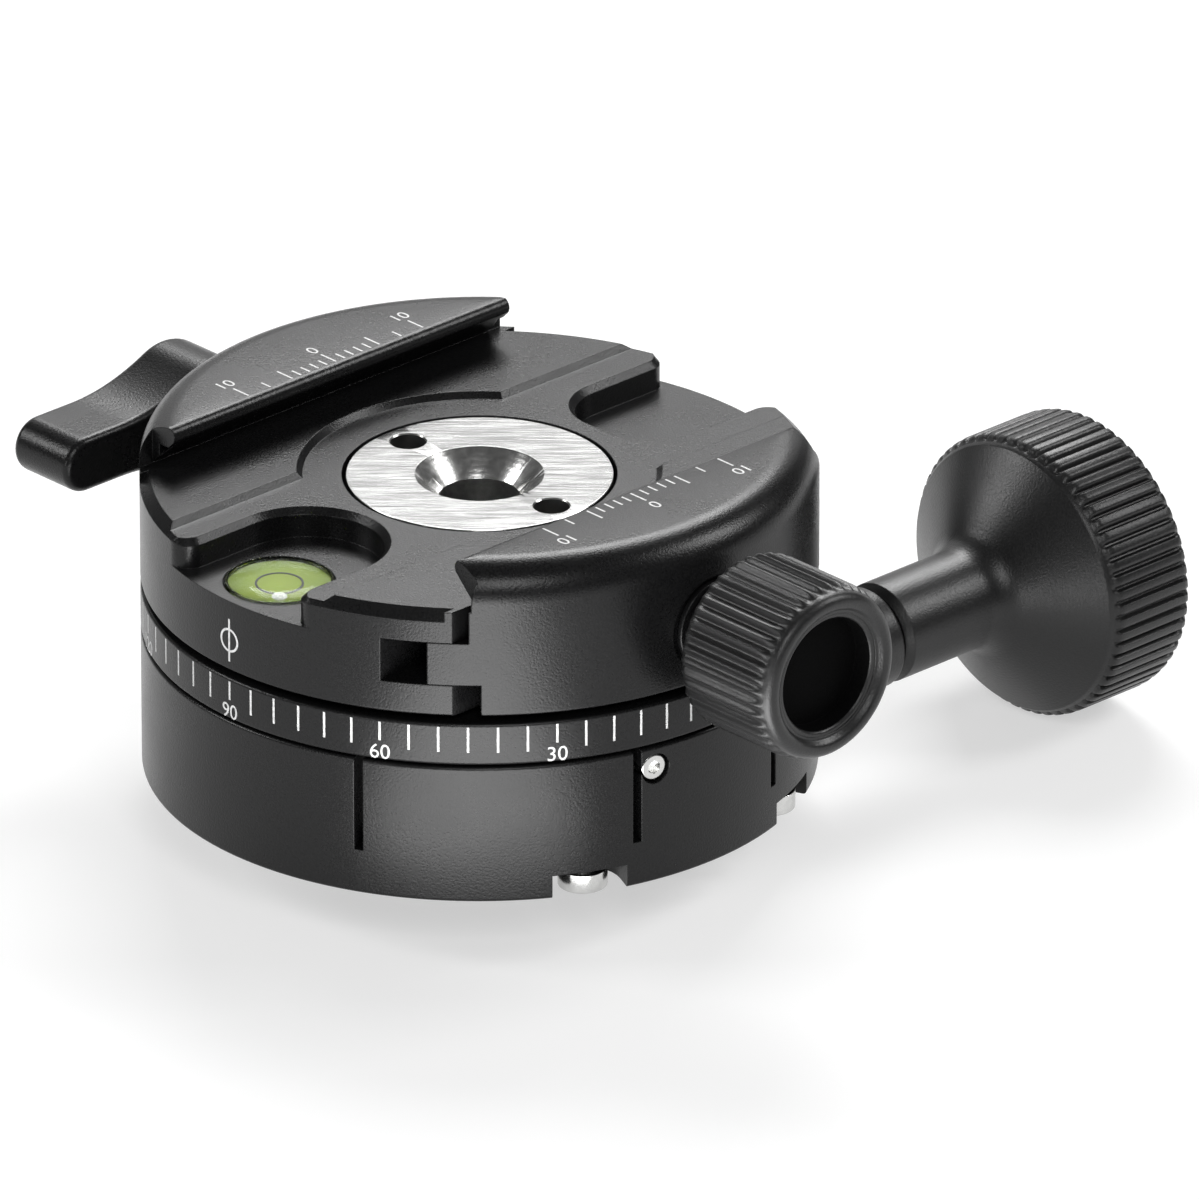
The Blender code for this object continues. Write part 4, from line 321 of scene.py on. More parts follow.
def turned(name, profile, steps, place=None):
    """A lathe-turned piece: a closed profile of (radius, station) spun round the local Z axis."""
    shape = bmesh.new()
    place = place or Matrix.Identity(4)
    rings = []
    for radius, station in profile:
        if radius == 0:
            rings.append([shape.verts.new(place @ Vector((0, 0, station)))])
            continue
        ring = []
        for step in range(steps):
            angle = 2 * math.pi * step / steps
            spot = Vector((radius * math.cos(angle), radius * math.sin(angle), station))
            ring.append(shape.verts.new(place @ spot))
        rings.append(ring)
    for index, low in enumerate(rings):
        high = rings[(index + 1) % len(rings)]
        if len(low) == 1 and len(high) == 1:
            continue
        for step in range(steps):
            after = (step + 1) % steps
            corners = [low[step % len(low)], low[after % len(low)]]
            corners += [high[after % len(high)], high[step % len(high)]]
            shape.faces.new(list(dict.fromkeys(corners)))
    return finished(name, shape)


def pushed(name, outline, direction, place=None):
    """A flat outline of 3D points pushed along a direction."""
    shape = bmesh.new()
    direction = Vector(direction)
    low = [shape.verts.new(point) for point in outline]
    high = [shape.verts.new(Vector(point) + direction) for point in outline]
    stacked(shape, [low, high])
    piece = finished(name, shape)
    if place:
        piece.data.transform(place)
    return piece


def prism(name, corners, foot, height, place=None):
    """A flat outline of (x, y) corners pushed upwards from a height."""
    return pushed(name, [(x, y, foot) for x, y in corners], (0, 0, height), place)


def stacked(shape, rings):
    """Close a stack of rings with the same number of points: sides and two caps."""
    shape.faces.new(rings[0])
    shape.faces.new(rings[-1])
    for lower, upper in zip(rings, rings[1:]):
        for index in range(len(lower)):
            after = (index + 1) % len(lower)
            shape.faces.new((lower[index], lower[after], upper[after], upper[index]))


def as_made(thing):
    """The mesh that an object's modifiers or its curves make."""
    graph = bpy.context.evaluated_depsgraph_get()
    return bpy.data.meshes.new_from_object(thing.evaluated_get(graph), depsgraph=graph)


def settled(piece):
    """Replace a piece's modifiers by the mesh that they make."""
    made = as_made(piece)
    piece.modifiers.clear()
    piece.data = made
    made.name = piece.name
    return piece


def machined(piece, tools, operation="DIFFERENCE"):
    """Cut a piece with other shapes, or keep only what lies inside one, and use them up."""
    cut = piece.modifiers.new("cut", "BOOLEAN")
    cut.operation = operation
    cut.solver = "EXACT"
    if operation == "DIFFERENCE":
        cut.operand_type = "COLLECTION"
        cut.collection = bpy.data.collections.new(piece.name + "_tools")
        for tool in tools:
            cut.collection.objects.link(tool)
    else:
        cut.object = tools[0]
    settled(piece)
    for tool in tools:
        bpy.data.objects.remove(tool)
    return piece


def drill(name, radius, start, end, place, steps=64):
    """The cutter of a round hole between two stations of an axis."""
    return turned(name, [(0, start), (radius, start), (radius, end), (0, end)], steps, place)


def evened(piece):
    """Keep a machined piece's flats flat in the shading, and its edges sharp."""
    shape = bmesh.new()
    shape.from_mesh(piece.data)
    bmesh.ops.remove_doubles(shape, verts=shape.verts, dist=SAME_SPOT)
    shape.to_mesh(piece.data)
    shape.free()
    shaded(piece.data, 28)
    even = piece.modifiers.new("even_normals", "WEIGHTED_NORMAL")
    even.keep_sharp = True
    return settled(piece)


def around(degrees, radius):
    """A point at a radius and an angle round the pan axis."""
    angle = math.radians(degrees)
    return Vector((radius * math.cos(angle), radius * math.sin(angle), 0))


def panned(degrees):
    """The matrix of a turn round the pan axis."""
    return Matrix.Rotation(math.radians(degrees), 4, "Z")


def outwards(degrees, height):
    """The matrix that lays local +Z along a radius of the body at a height."""
    return panned(degrees) @ laid("+X", (0, 0, height))


def ramp(tree, share, low, high, low_at=0.0, high_at=1.0):
    """A colour that goes over from one to the other between two shares."""
    colour = wired(tree, "ShaderNodeValToRGB", share)
    first, last = colour.node.color_ramp.elements
    first.position, first.color = low_at, (*low, 1)
    last.position, last.color = high_at, (*high, 1)
    return colour


def anodised(name, shade=0.006, roughness=0.29, sheen=0.28, lathe=None):
    """Black anodised aluminium: a bead-blasted grain, cloudy sheen, and lathe rings if asked."""
    made, tree, shader, place = surface(name, Specular_IOR_Level=sheen)
    fine = wired(tree, "ShaderNodeTexNoise", place, Scale=BLAST_GRAIN, Detail=2.0)
    cloud = wired(tree, "ShaderNodeTexNoise", place, Scale=CLOUD_GRAIN, Detail=4.0)
    dark = (shade * 0.7, shade * 0.7, shade * 0.74)
    light = (shade * 1.5, shade * 1.5, shade * 1.55)
    tint = ramp(tree, fine, dark, light, 0.3, 0.75)
    both = worked(tree, "ADD", cloud, fine)
    polish = (roughness - 0.05, roughness + 0.06)
    rough = wired(tree, "ShaderNodeMapRange", both, 0.6, 1.4, *polish)
    edges = wired(tree, "ShaderNodeBevel", EDGE_BREAK, samples=6)
    depth = {"Strength": 0.75, "Distance": 0.03 * MM}
    normal = wired(tree, "ShaderNodeBump", Height=fine, Normal=edges, **depth)
    if lathe:
        normal = turned_rings(tree, place, normal, lathe)
    fed(shader, Base_Color=tint, Roughness=rough, Normal=normal)
    return made


def turned_rings(tree, place, normal, lathe):
    """Fine rings left by the lathe tool, round an axis through a point, on top of a normal."""
    origin, turn = lathe
    settings = {"Location": origin, "Rotation": turn, "vector_type": "TEXTURE"}
    centre = wired(tree, "ShaderNodeMapping", place, **settings)
    marks = {"Scale": 900, "Distortion": 1.5, "Detail": 2.0}
    ways = {"wave_type": "RINGS", "rings_direction": "Z"}
    rings = wired(tree, "ShaderNodeTexWave", centre, **marks, **ways).node.outputs["Fac"]
    depth = {"Strength": 0.25, "Distance": 0.01 * MM}
    return wired(tree, "ShaderNodeBump", Height=rings, Normal=normal, **depth)


def dressed(piece, material, slot, body, *nodes):
    """Give a piece its material, let it ride on a body, and stand it in for CAD nodes; slot is not
    used.
    """
    piece.data.materials.clear()
    piece.data.materials.append(material)
    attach(piece, body)
    if nodes:
        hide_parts(*nodes)
    return piece


blasted_black = anodised("blasted_black")
housing_profile = eased(
    (PLATE_SEAT, 0, 0.2 * MM),
    (BODY_RADIUS, 0, ROUNDING),
    (BODY_RADIUS, BASE_HEIGHT, ROUNDING),
    (RING_SEAT, BASE_HEIGHT, 0.2 * MM),
    (RING_SEAT, RING_SEAT_FLOOR, 0),
    (CAVITY_RADIUS, RING_SEAT_FLOOR, 0),
    (CAVITY_RADIUS, PLATE_SEAT_TOP, 0),
    (PLATE_SEAT, PLATE_SEAT_TOP, 0),
)
housing = turned("housing", housing_profile, HOUSING_STEPS)
slit = rectangle(BODY_RADIUS - SLIT_DEPTH, WIDE, -SLIT_WIDTH / 2, SLIT_WIDTH / 2)
notch = [(WIDE, -NOTCH_HALF_WIDTH)]
notch += reversed(arc((NOTCH_CENTRE, 0), NOTCH_HALF_WIDTH, 90, 270, 16))
notch += [(WIDE, NOTCH_HALF_WIDTH)]
cuts = [("slit", slit, SLIT_FOOT, BASE_HEIGHT, degrees) for degrees in SLIT_ANGLES]
cuts += [("notch", notch, -OVERRUN, OVERRUN + NOTCH_HEIGHT, degrees) for degrees in NOTCH_ANGLES]
housing_tools = [prism(*cut, panned(degrees)) for *cut, degrees in cuts]
mesh_line = outwards(MESH_SCREW_ANGLE, MESH_SCREW_HEIGHT)
worm_axis = laid("+X", WORM_LINE)
housing_tools.append(drill("mesh_tool", MESH_BORE, 22 * MM, 31 * MM, mesh_line, 32))
housing_tools.append(drill("sleeve_tool", SLEEVE_OPENING, SLEEVE_OPENING_START, 31 * MM, worm_axis))
housing_tools.append(drill("worm_tool", WORM_BORE, WORM_BORE_START, 17 * MM, worm_axis))
machined(housing, housing_tools)
evened(housing)
dressed(housing, blasted_black, "black_anodised", "base", "base_housing")


# Bottom plate, spindle and their screws
# A flat plate closes the base, and the steel spindle stands in it with the tripod socket in its
# foot. Socket head screws of plain steel hold both, and two more clamp the housing's slits.

PLATE_RADIUS = 20.5 * MM
PLATE_THICKNESS = 2.2 * MM
SPINDLE_HOLE = 7.3 * MM
PLATE_SCREW_CIRCLE = 18.0 * MM
PLATE_SCREW_ANGLES = (5, 90, 175)
SPINDLE_SCREW_CIRCLE = 10.2 * MM
SPINDLE_SCREW_ANGLES = (60, 180, 300)
SCREW_LENGTH = 5.4 * MM
SPINDLE_SCREW_LENGTH = 3.4 * MM
NOTCH_SCREW = (2.1 * MM, 1.7 * MM, 6.3 * MM)
MESH_SCREW = (1.2 * MM, 4.8 * MM, 5.0 * MM)
MESH_SCREW_OUT = 28.25 * MM
MESH_HEX_RADIUS = 0.62 * MM
HEAD_RADIUS = 2.2 * MM
HEAD_HEIGHT = 1.2 * MM
SHANK_RADIUS = 1.1 * MM
SCREW_PLAY = 0.2 * MM
SEAT_DEPTH = 1.4 * MM
WAY_START = 1.0 * MM
HEX_RADIUS = 0.95 * MM
HEX_DEPTH = 0.8 * MM
HEX_SIDES = [math.pi * side / 3 for side in range(6)]


def finish(name, grain, tint=None, spread=(0.0, 1.0), polish=None, bump=None, lathe=None, **plain):
    """A material whose tint, polish and bump follow one noise of (scale, detail)."""
    made, tree, shader, place = surface(name, **plain)
    marks = wired(tree, "ShaderNodeTexNoise", place, Scale=grain[0], Detail=grain[1])
    if tint:
        fed(shader, Base_Color=ramp(tree, marks, *tint, *spread))
    if polish:
        ends = {"To_Min": polish[0], "To_Max": polish[1]}
        fed(shader, Roughness=wired(tree, "ShaderNodeMapRange", marks, **ends))
    if bump:
        normal = wired(tree, "ShaderNodeBump", Height=marks, Strength=bump, Distance=0.01 * MM)
        fed(shader, Normal=turned_rings(tree, place, normal, lathe) if lathe else normal)
    return made


def steel(name, shade=0.6, roughness=0.24, grain=1800, lathe=None):
    """Bright steel with fine tool marks and slightly uneven polish."""
    tint = ([shade * 0.82, shade * 0.82, shade * 0.81], [shade * 1.12, shade * 1.12, shade * 1.1])
    look = {"polish": (roughness - 0.06, roughness + 0.1), "bump": 0.2, "lathe": lathe}
    return finish(name, (grain, 4.0), tint, Metallic=1.0, **look)


def node_tree(name, **kinds):
    """An empty geometry node tree, with the named inputs of each kind that it takes."""
    tree = bpy.data.node_groups.new(name, "GeometryNodeTree")
    for way in ("INPUT", "OUTPUT"):
        tree.interface.new_socket("Geometry", in_out=way, socket_type="NodeSocketGeometry")
    for kind, labels in kinds.items():
        for label in labels.split():
            tree.interface.new_socket(label, in_out="INPUT", socket_type="NodeSocket" + kind)
    return tree, tree.nodes.new("NodeGroupInput").outputs


def closed_tree(tree, shape, material):
    """End a tree: copies are made real, the material is set, and the shape goes out."""
    real = wired(tree, "GeometryNodeRealizeInstances", shape)
    painted = wired(tree, "GeometryNodeSetMaterial", real, Material=material)
    tree.links.new(painted, tree.nodes.new("NodeGroupOutput").inputs[0])
    return tree


def grown(name, mesh, tree, sharp=35, **values):
    """Let a tree work on a mesh with the given sizes, and keep the result as one plain mesh."""
    piece = placed(name, mesh)
    growth = piece.modifiers.new(tree.name, "NODES")
    growth.node_group = tree
    for socket in tree.interface.items_tree:
        if socket.in_out == "INPUT" and socket.name in values:
            growth[socket.identifier] = values[socket.name]
    settled(piece)
    shaded(piece.data, sharp)
    return piece


def dots(name, spots, **measures):
    """A mesh of loose points, which may carry named numbers for a tree to read."""
    mesh = bpy.data.meshes.new(name)
    mesh.from_pydata([tuple(spot) for spot in spots], [], [])
    for label, numbers in measures.items():
        mesh.attributes.new(label, "FLOAT", "POINT").data.foreach_set("value", numbers)
    return mesh


def socket_screw(name, head_radius, head_height, length, place, hex_radius=HEX_RADIUS):
    """A socket head screw: a plain round head with eased edges, a hexagon hole and its shank."""
    profile = eased(
        (0, 0, 0),
        (head_radius, 0, 0.22 * MM),
        (head_radius, head_height, 0.05 * MM),
        (SHANK_RADIUS, head_height, 0),
        (SHANK_RADIUS, length, 0.2 * MM),
        (0, length, 0),
    )
    screw = turned(name, profile, 48, place)
    corners = [(hex_radius * math.cos(side), hex_radius * math.sin(side)) for side in HEX_SIDES]
    machined(screw, [prism(name + "_hex", corners, -0.5 * MM, HEX_DEPTH + 0.5 * MM, place)])
    return evened(screw)


def screw_tools(label, number, stand, end):
    """The tools of a screw's seat and of the way for its shank, for what the screw holds."""
    wide, narrow = HEAD_RADIUS + SCREW_PLAY, SHANK_RADIUS + SCREW_PLAY
    seat = drill(f"{label}_seat_{number}", wide, -OVERRUN, SEAT_DEPTH, stand, 40)
    return [seat, drill(f"{label}_way_{number}", narrow, WAY_START, end, stand, 24)]


def screw_row_tree():
    """A tree that stands a screw on each point, each stopped at a turn of its own."""
    tree, given = node_tree("screw_row", Object="Screw", Int="Seed", Material="Finish")
    pattern = wired(tree, "GeometryNodeObjectInfo", given["Screw"]).node.outputs["Geometry"]
    limits = (0.0, 2 * math.pi, 0, given["Seed"])
    turn = wired(tree, "FunctionNodeRandomValue", *limits, data_type="FLOAT")
    spin = wired(tree, "ShaderNodeCombineXYZ", 0.0, 0.0, turn)
    feeds = (given["Geometry"], None, pattern, None, None, spin)
    row = wired(tree, "GeometryNodeInstanceOnPoints", *feeds)
    return closed_tree(tree, row, given["Finish"])


def screw_row(name, pattern, spots, seed, nodes):
    """A row of like screws as one piece on the base, in place of their CAD nodes."""
    points = dots(name, spots)
    row = grown(name, points, screw_rows_tree, Screw=pattern, Seed=seed, Finish=screw_steel)
    bpy.data.objects.remove(pattern)
    return dressed(row, screw_steel, "bright_steel", "base", *nodes)


screw_steel = steel("screw_steel", 0.62, 0.2)
screw_rows_tree = screw_row_tree()
plate_profile = eased(
    (SPINDLE_HOLE, 0, 0.2 * MM),
    (PLATE_RADIUS, 0, 0.25 * MM),
    (PLATE_RADIUS, PLATE_THICKNESS, 0),
    (SPINDLE_HOLE, PLATE_THICKNESS, 0),
)
plate = turned("base_plate", plate_profile, 144)
plate_tools = []
screw_rows = (
    ("plate_screw", PLATE_SCREW_CIRCLE, PLATE_SCREW_ANGLES, SCREW_LENGTH, 4),
    ("spindle_screw", SPINDLE_SCREW_CIRCLE, SPINDLE_SCREW_ANGLES, SPINDLE_SCREW_LENGTH, 9),
)
for label, circle, angles, length, seed in screw_rows:
    spots = [around(degrees, circle) for degrees in angles]
    for number, spot in enumerate(spots, 1):
        plate_tools += screw_tools(label, number, laid("+Z", spot), 4 * MM)
    pattern = socket_screw(label, HEAD_RADIUS, HEAD_HEIGHT, length, laid("+Z"))
    names = [f"{label}_{number}" for number in range(1, len(spots) + 1)]
    screw_row(label + "s", pattern, spots, seed, names)
machined(plate, plate_tools)
evened(plate)
dressed(plate, blasted_black, "black_anodised", "base", "bottom_plate")
pattern = socket_screw("notch_screw", *NOTCH_SCREW, laid("+Z"))
spots = [around(degrees, NOTCH_CENTRE) for degrees in NOTCH_ANGLES]
screw_row("notch_screws", pattern, spots, 2, ("notch_screw_left", "notch_screw_right"))
stand = mesh_line @ laid("-Z", (0, 0, MESH_SCREW_OUT))
screw = socket_screw("mesh_set_screw_fine", *MESH_SCREW, stand, MESH_HEX_RADIUS)
dressed(screw, screw_steel, "bright_steel", "base", "mesh_set_screw")


# Degree ring
# A separate ring, anodised black like the housing, screwed to its top. Its white lines stand five
# degrees apart with a number at every thirtieth, filled into shallow engraving.

RING_BOTTOM = 12.6 * MM
RING_TOP = 16.4 * MM
RING_BORE = 21.5 * MM
RING_SCREW_CIRCLE = 24.6 * MM
RING_SCREW_ANGLES = (30, 150, 270)
TICK_STEP = 5
NUMBER_STEP = 30
TICK_LONG = 2.3 * MM
TICK_SHORT = 1.7 * MM
TICK_WIDTH = 0.2 * MM
PAINT_PROUD = 0.012 * MM
PAINT_SUNK = 0.05 * MM
PAINT_MIDDLE = (PAINT_PROUD - PAINT_SUNK) / 2
PAINT_THICKNESS = PAINT_PROUD + PAINT_SUNK
FIGURE_SHARE = 0.72
DIGIT_HEIGHT = 1.35 * MM
DIGIT_FOOT = 12.75 * MM

ring_profile = eased(
    (RING_BORE, RING_BOTTOM, 0),
    (BODY_RADIUS, RING_BOTTOM, ROUNDING),
    (BODY_RADIUS, RING_TOP, ROUNDING),
    (RING_BORE, RING_TOP, 0),
)
scale_ring = turned("scale_ring", ring_profile, HOUSING_STEPS)
ring_tools = []
hanging = laid("-Z", (0, 0, RING_TOP))
spots = [around(degrees, RING_SCREW_CIRCLE) for degrees in RING_SCREW_ANGLES]
for number, spot in enumerate(spots, 1):
    ring_tools += screw_tools("dial", number, Matrix.Translation(spot) @ hanging, 5 * MM)
pattern = socket_screw("dial_screw", HEAD_RADIUS, HEAD_HEIGHT, SCREW_LENGTH, hanging)
screw_row("dial_screws", pattern, spots, 7, [f"dial_screw_{number}" for number in (1, 2, 3)])
machined(scale_ring, ring_tools)
evened(scale_ring)
dressed(scale_ring, blasted_black, "black_anodised", "base", "degree_ring")


def engraving_paint(name, shade=0.8):
    """White paint wiped into engraving: matt, a little thin and grey in places."""
    tint = ([shade * 0.72] * 3, [shade] * 3)
    return finish(name, (3500, 3.0), tint, (0.3, 0.6), Roughness=0.6)


def bent(mesh, radius):
    """Bend a flat mesh round an axis that lies a radius behind it."""
    for corner in mesh.vertices:
        angle = corner.co.x / radius
        reach = radius + corner.co.z
        corner.co = (reach * math.sin(angle), corner.co.y, reach * math.cos(angle) - radius)


def words(text, height, place, bend_radius=0.0):
    """A short number as a thin mesh, centred on its place; it may be bent round the pan axis."""
    curve = bpy.data.curves.new("number_" + text, "FONT")
    curve.body = text
    curve.align_x = "CENTER"
    curve.size = height / FIGURE_SHARE
    curve.extrude = PAINT_THICKNESS / 2
    curve.resolution_u = 4
    holder = placed("number_" + text, curve)
    mesh = as_made(holder)
    bpy.data.objects.remove(holder)
    if bend_radius:
        bent(mesh, bend_radius)
    mesh.transform(place)
    return mesh


def joined(name, meshes):
    """One object from several meshes."""
    shape = bmesh.new()
    for mesh in meshes:
        shape.from_mesh(mesh)
    return finished(name, shape, 20)


def on_wall(degrees, height):
    """The matrix that sets local X round the body, local Y up and local Z outwards."""
    outward = around(degrees, 1.0)
    sideways = Vector((-outward.y, outward.x, 0))
    turn = Matrix((sideways, Vector((0, 0, 1)), outward)).transposed().to_4x4()
    return Matrix.Translation(outward * BODY_RADIUS + Vector((0, 0, height))) @ turn


def dial_line_tree():
    """A tree that sets lines round a wall, hung from one height; every so many is a short one."""
    sizes = "Radius Top Long Short Width Thickness"
    tree, given = node_tree("dial_lines", Int="Count Every", Float=sizes, Material="Paint")
    place = wired(tree, "GeometryNodeInputIndex")
    pitch = worked(tree, "DIVIDE", 2 * math.pi, given["Count"])
    angle = worked(tree, "SUBTRACT", -math.pi / 2, worked(tree, "MULTIPLY", place, pitch))
    left = worked(tree, "MODULO", place, given["Every"])
    plain = worked(tree, "GREATER_THAN", left, 0.5)
    length = wired(tree, "ShaderNodeMix", plain, given["Short"], given["Long"])
    height = worked(tree, "SUBTRACT", given["Top"], worked(tree, "DIVIDE", length, 2.0))
    across = worked(tree, "MULTIPLY", worked(tree, "COSINE", angle), given["Radius"])
    away = worked(tree, "MULTIPLY", worked(tree, "SINE", angle), given["Radius"])
    spot = wired(tree, "ShaderNodeCombineXYZ", across, away, height)
    points = wired(tree, "GeometryNodePoints", given["Count"], spot)
    size = wired(tree, "ShaderNodeCombineXYZ", given["Thickness"], given["Width"], 1.0)
    bar = wired(tree, "GeometryNodeMeshCube", size)
    spin = wired(tree, "ShaderNodeCombineXYZ", 0.0, 0.0, angle)
    stretch = wired(tree, "ShaderNodeCombineXYZ", 1.0, 1.0, length)
    feeds = (points, None, bar, None, None, spin, stretch)
    lines = wired(tree, "GeometryNodeInstanceOnPoints", *feeds)
    return closed_tree(tree, lines, given["Paint"])


white_paint = engraving_paint("white_paint")
dial_sizes = {
    "Count": 360 // TICK_STEP,
    "Every": NUMBER_STEP // TICK_STEP,
    "Radius": BODY_RADIUS + PAINT_MIDDLE,
    "Top": RING_TOP - ROUNDING,
    "Long": TICK_LONG,
    "Short": TICK_SHORT,
    "Width": TICK_WIDTH,
    "Thickness": PAINT_THICKNESS,
    "Paint": white_paint,
}
dial_lines = grown("dial_lines", dots("dial_lines", []), dial_line_tree(), **dial_sizes)
dressed(dial_lines, white_paint, None, "base")
numbers = []
for value in range(0, 360, NUMBER_STEP):
    spot = on_wall(-90 - value, DIGIT_FOOT) @ Matrix.Translation((0, 0, PAINT_MIDDLE))
    numbers.append(words(str(value), DIGIT_HEIGHT, spot, BODY_RADIUS))
dressed(joined("dial_numbers", numbers), white_paint, None, "base")


# Gear wheel, bushes and washers
# Nothing of these shows from outside, but they are there when the head comes off: a bronze worm
# wheel with its bushes, nylon washers between the turning faces, and the steel spindle and worm.

def machined_bronze(name):
    """Bronze fresh from the hobbing machine: warm, with cloudy tarnish."""
    tint = ((0.30, 0.17, 0.06), (0.56, 0.38, 0.16))
    return finish(name, (240, 6.0), tint, (0.3, 0.7), (0.5, 0.22), Metallic=1.0)


def moulded_nylon(name):
    """Natural nylon: creamy, faintly mottled and slightly translucent."""
    tint = ((0.70, 0.68, 0.61), (0.80, 0.79, 0.74))
    depth = {"Subsurface_Weight": 0.1, "Subsurface_Radius": (0.001, 0.0008, 0.0006)}
    return finish(name, (900, 2.0), tint, Roughness=0.5, **depth)


gear_bronze = machined_bronze("gear_bronze")
washer_nylon = moulded_nylon("washer_nylon")
spindle_steel = steel("spindle_steel", 0.58, 0.26, lathe=((0, 0, 0), (0, 0, 0)))
shaft_steel = steel("shaft_steel", 0.58, 0.26, lathe=(WORM_LINE, (0, math.pi / 2, 0)))
hidden_finishes = (
    (gear_bronze, "gear_wheel gear_bush head_bush worm_end_bush brake_shoe"),
    (washer_nylon, "gear_lower_washer gear_thrust_washer head_thrust_washer hub_washer"),
    (spindle_steel, "spindle"),
    (shaft_steel, "worm_shaft"),
    (screw_steel, "worm_knob_screw guide_pin_left guide_pin_right clamp_screw lock_screw"),
)
for material, nodes in hidden_finishes:
    for node in nodes.split():
        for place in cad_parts[node].material_slots:
            place.link = "OBJECT"
            place.material = material


# Tripod thread
# The spindle's foot is tapped for a tripod's large screw, sixteen threads to the inch. The thread's
# ridge is wound by the same tree as the springs.

THREAD_PITCH = 1.5875 * MM
THREAD_RADIUS = 4.5 * MM
THREAD_RIDGE = 0.72 * MM
THREAD_TURNS = 5.4


def coil_tree():
    """A tree that winds a wire into a coil along local Z; four sides make a thread's ridge."""
    sizes = "Radius Height Turns Wire"
    tree, given = node_tree("coil", Int="Sides Steps", Float=sizes, Material="Finish")
    feeds = [given[label] for label in ("Steps", "Turns", "Radius", "Radius", "Height")]
    path = wired(tree, "GeometryNodeCurveSpiral", *feeds)
    feeds = {"Radius": given["Wire"]}
    around_wire = wired(tree, "GeometryNodeCurvePrimitiveCircle", given["Sides"], **feeds)
    wound = wired(tree, "GeometryNodeCurveToMesh", path, around_wire, Fill_Caps=True)
    return closed_tree(tree, wound, given["Finish"])


def coil(name, sides, steps, radius, height, turns, wire, metal):
    """A wire wound round local Z from its foot upwards."""
    sizes = {"Sides": sides, "Steps": steps, "Radius": radius, "Height": height, "Turns": turns}
    return grown(name, dots(name, []), winding, Wire=wire, Finish=metal, **sizes)


winding = coil_tree()
measures = (THREAD_RADIUS, THREAD_TURNS * THREAD_PITCH, THREAD_TURNS, THREAD_RIDGE)
thread = coil("socket_thread", 4, 64, *measures, spindle_steel)
thread.data.transform(Matrix.Translation((0, 0, THREAD_RIDGE)))
dressed(thread, spindle_steel, "bright_steel", "base")


# Jaw springs
# Two small compression springs of drawn wire stand in bores between the body and the sliding jaw,
# and push the jaw open when the clamp knob lets go. They end short of the jaw by its closing way.

SPRING_RADIUS = 1.1 * MM
SPRING_WIRE = 0.25 * MM
SPRING_TURNS = 6.0
JAW_CLOSING = 0.95 * MM

spring_wire = steel("spring_wire", 0.5, 0.3, grain=2600)
for side in ("left", "right"):
    low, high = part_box("jaw_spring_" + side)
    span = high[1] - low[1] - 2 * SPRING_WIRE - JAW_CLOSING
    measures = (SPRING_RADIUS, span, SPRING_TURNS, SPRING_WIRE)
    spring = coil("fine_spring_" + side, 10, 36, *measures, spring_wire)
    middle_x, middle_z = (low[0] + high[0]) / 2, (low[2] + high[2]) / 2
    spring.data.transform(laid("-Y", (middle_x, high[1] - SPRING_WIRE, middle_z)))
    dressed(spring, spring_wire, "spring_steel", "head", "jaw_spring_" + side)


# Worm sleeve and the large knob
# A black tube carries the worm's shaft out of the housing. The knob on it is one turned piece: a
# slim stem with a bright chamfer, a cone that opens to the rim, and sixty milled flutes.

SLEEVE_RADIUS = 4.4 * MM
SLEEVE_BORE = 2.1 * MM
SLEEVE_TAIL = 8.6 * MM
SLEEVE_TAIL_RADIUS = 3.3 * MM
SLEEVE_START = 16.4 * MM
SLEEVE_END = 29.6 * MM
STEM_RADIUS = 4.375 * MM
STEM_START = 30.1 * MM
STEM_CHAMFER = 0.62 * MM
BELL_CORNER = 41.18 * MM
BELL_HOLLOW = 3.4 * MM
BELL_RADIUS = 11.78 * MM
BELL_END = 46.36 * MM
KNOB_RIM = 12.55 * MM
KNOB_ROOT = 12.0 * MM
KNOB_FLUTE_START = 46.75 * MM
KNOB_END = 55.7 * MM
KNOB_FLUTES = 60
FLUTE_DEPTH = 0.55 * MM
END_ROLL = 0.75 * MM
CAP_SEAT = 9.2 * MM
CAP_SEAT_FLOOR = 54.4 * MM
CAP_RADIUS = 9.0 * MM
CAP_FOOT = 54.7 * MM
GROOVE_STEPS = 16

sleeve_profile = [(SLEEVE_BORE, SLEEVE_TAIL), (SLEEVE_TAIL_RADIUS, SLEEVE_TAIL)]
sleeve_profile += [(SLEEVE_TAIL_RADIUS, SLEEVE_START)]
sleeve_profile += eased(
    (SLEEVE_BORE, SLEEVE_START, 0),
    (SLEEVE_RADIUS, SLEEVE_START, 0),
    (SLEEVE_RADIUS, SLEEVE_END, 0.35 * MM),
    (SLEEVE_BORE, SLEEVE_END, 0.1 * MM),
)[1:]
sleeve = turned("sleeve", sleeve_profile, 128, worm_axis)
along_worm = (WORM_LINE, (0, math.pi / 2, 0))
turned_black = anodised("turned_black", roughness=0.38, sheen=0.5, lathe=along_worm)
dressed(sleeve, turned_black, "black_anodised", "base", "worm_sleeve")


def fluted(name, flutes, stations, groove, samples, place, caps):
    """A fluted knob: stations are (along, crest radius, groove depth), caps run to the axis."""
    plain = [(radius, along, 0.0) for radius, along in reversed(caps[0])]
    plain += [(radius, along, depth) for along, radius, depth in stations]
    plain += [(radius, along, 0.0) for radius, along in caps[1]]
    blank = turned(name + "_blank", [row[:2] for row in plain], flutes * samples)
    depths = []
    for radius, _, depth in plain:
        depths += [depth] if radius == 0 else [depth] * (flutes * samples)
    cuts = blank.data.attributes.new("cut", "FLOAT", "POINT")
    cuts.data.foreach_set("value", depths)
    tree = flute_tree(name + "_flutes", groove)
    knob = grown(name, blank.data, tree, 50, Flutes=flutes, Depth=1.0, Finish=turned_black)
    bpy.data.objects.remove(blank)
    knob.data.transform(place)
    return knob


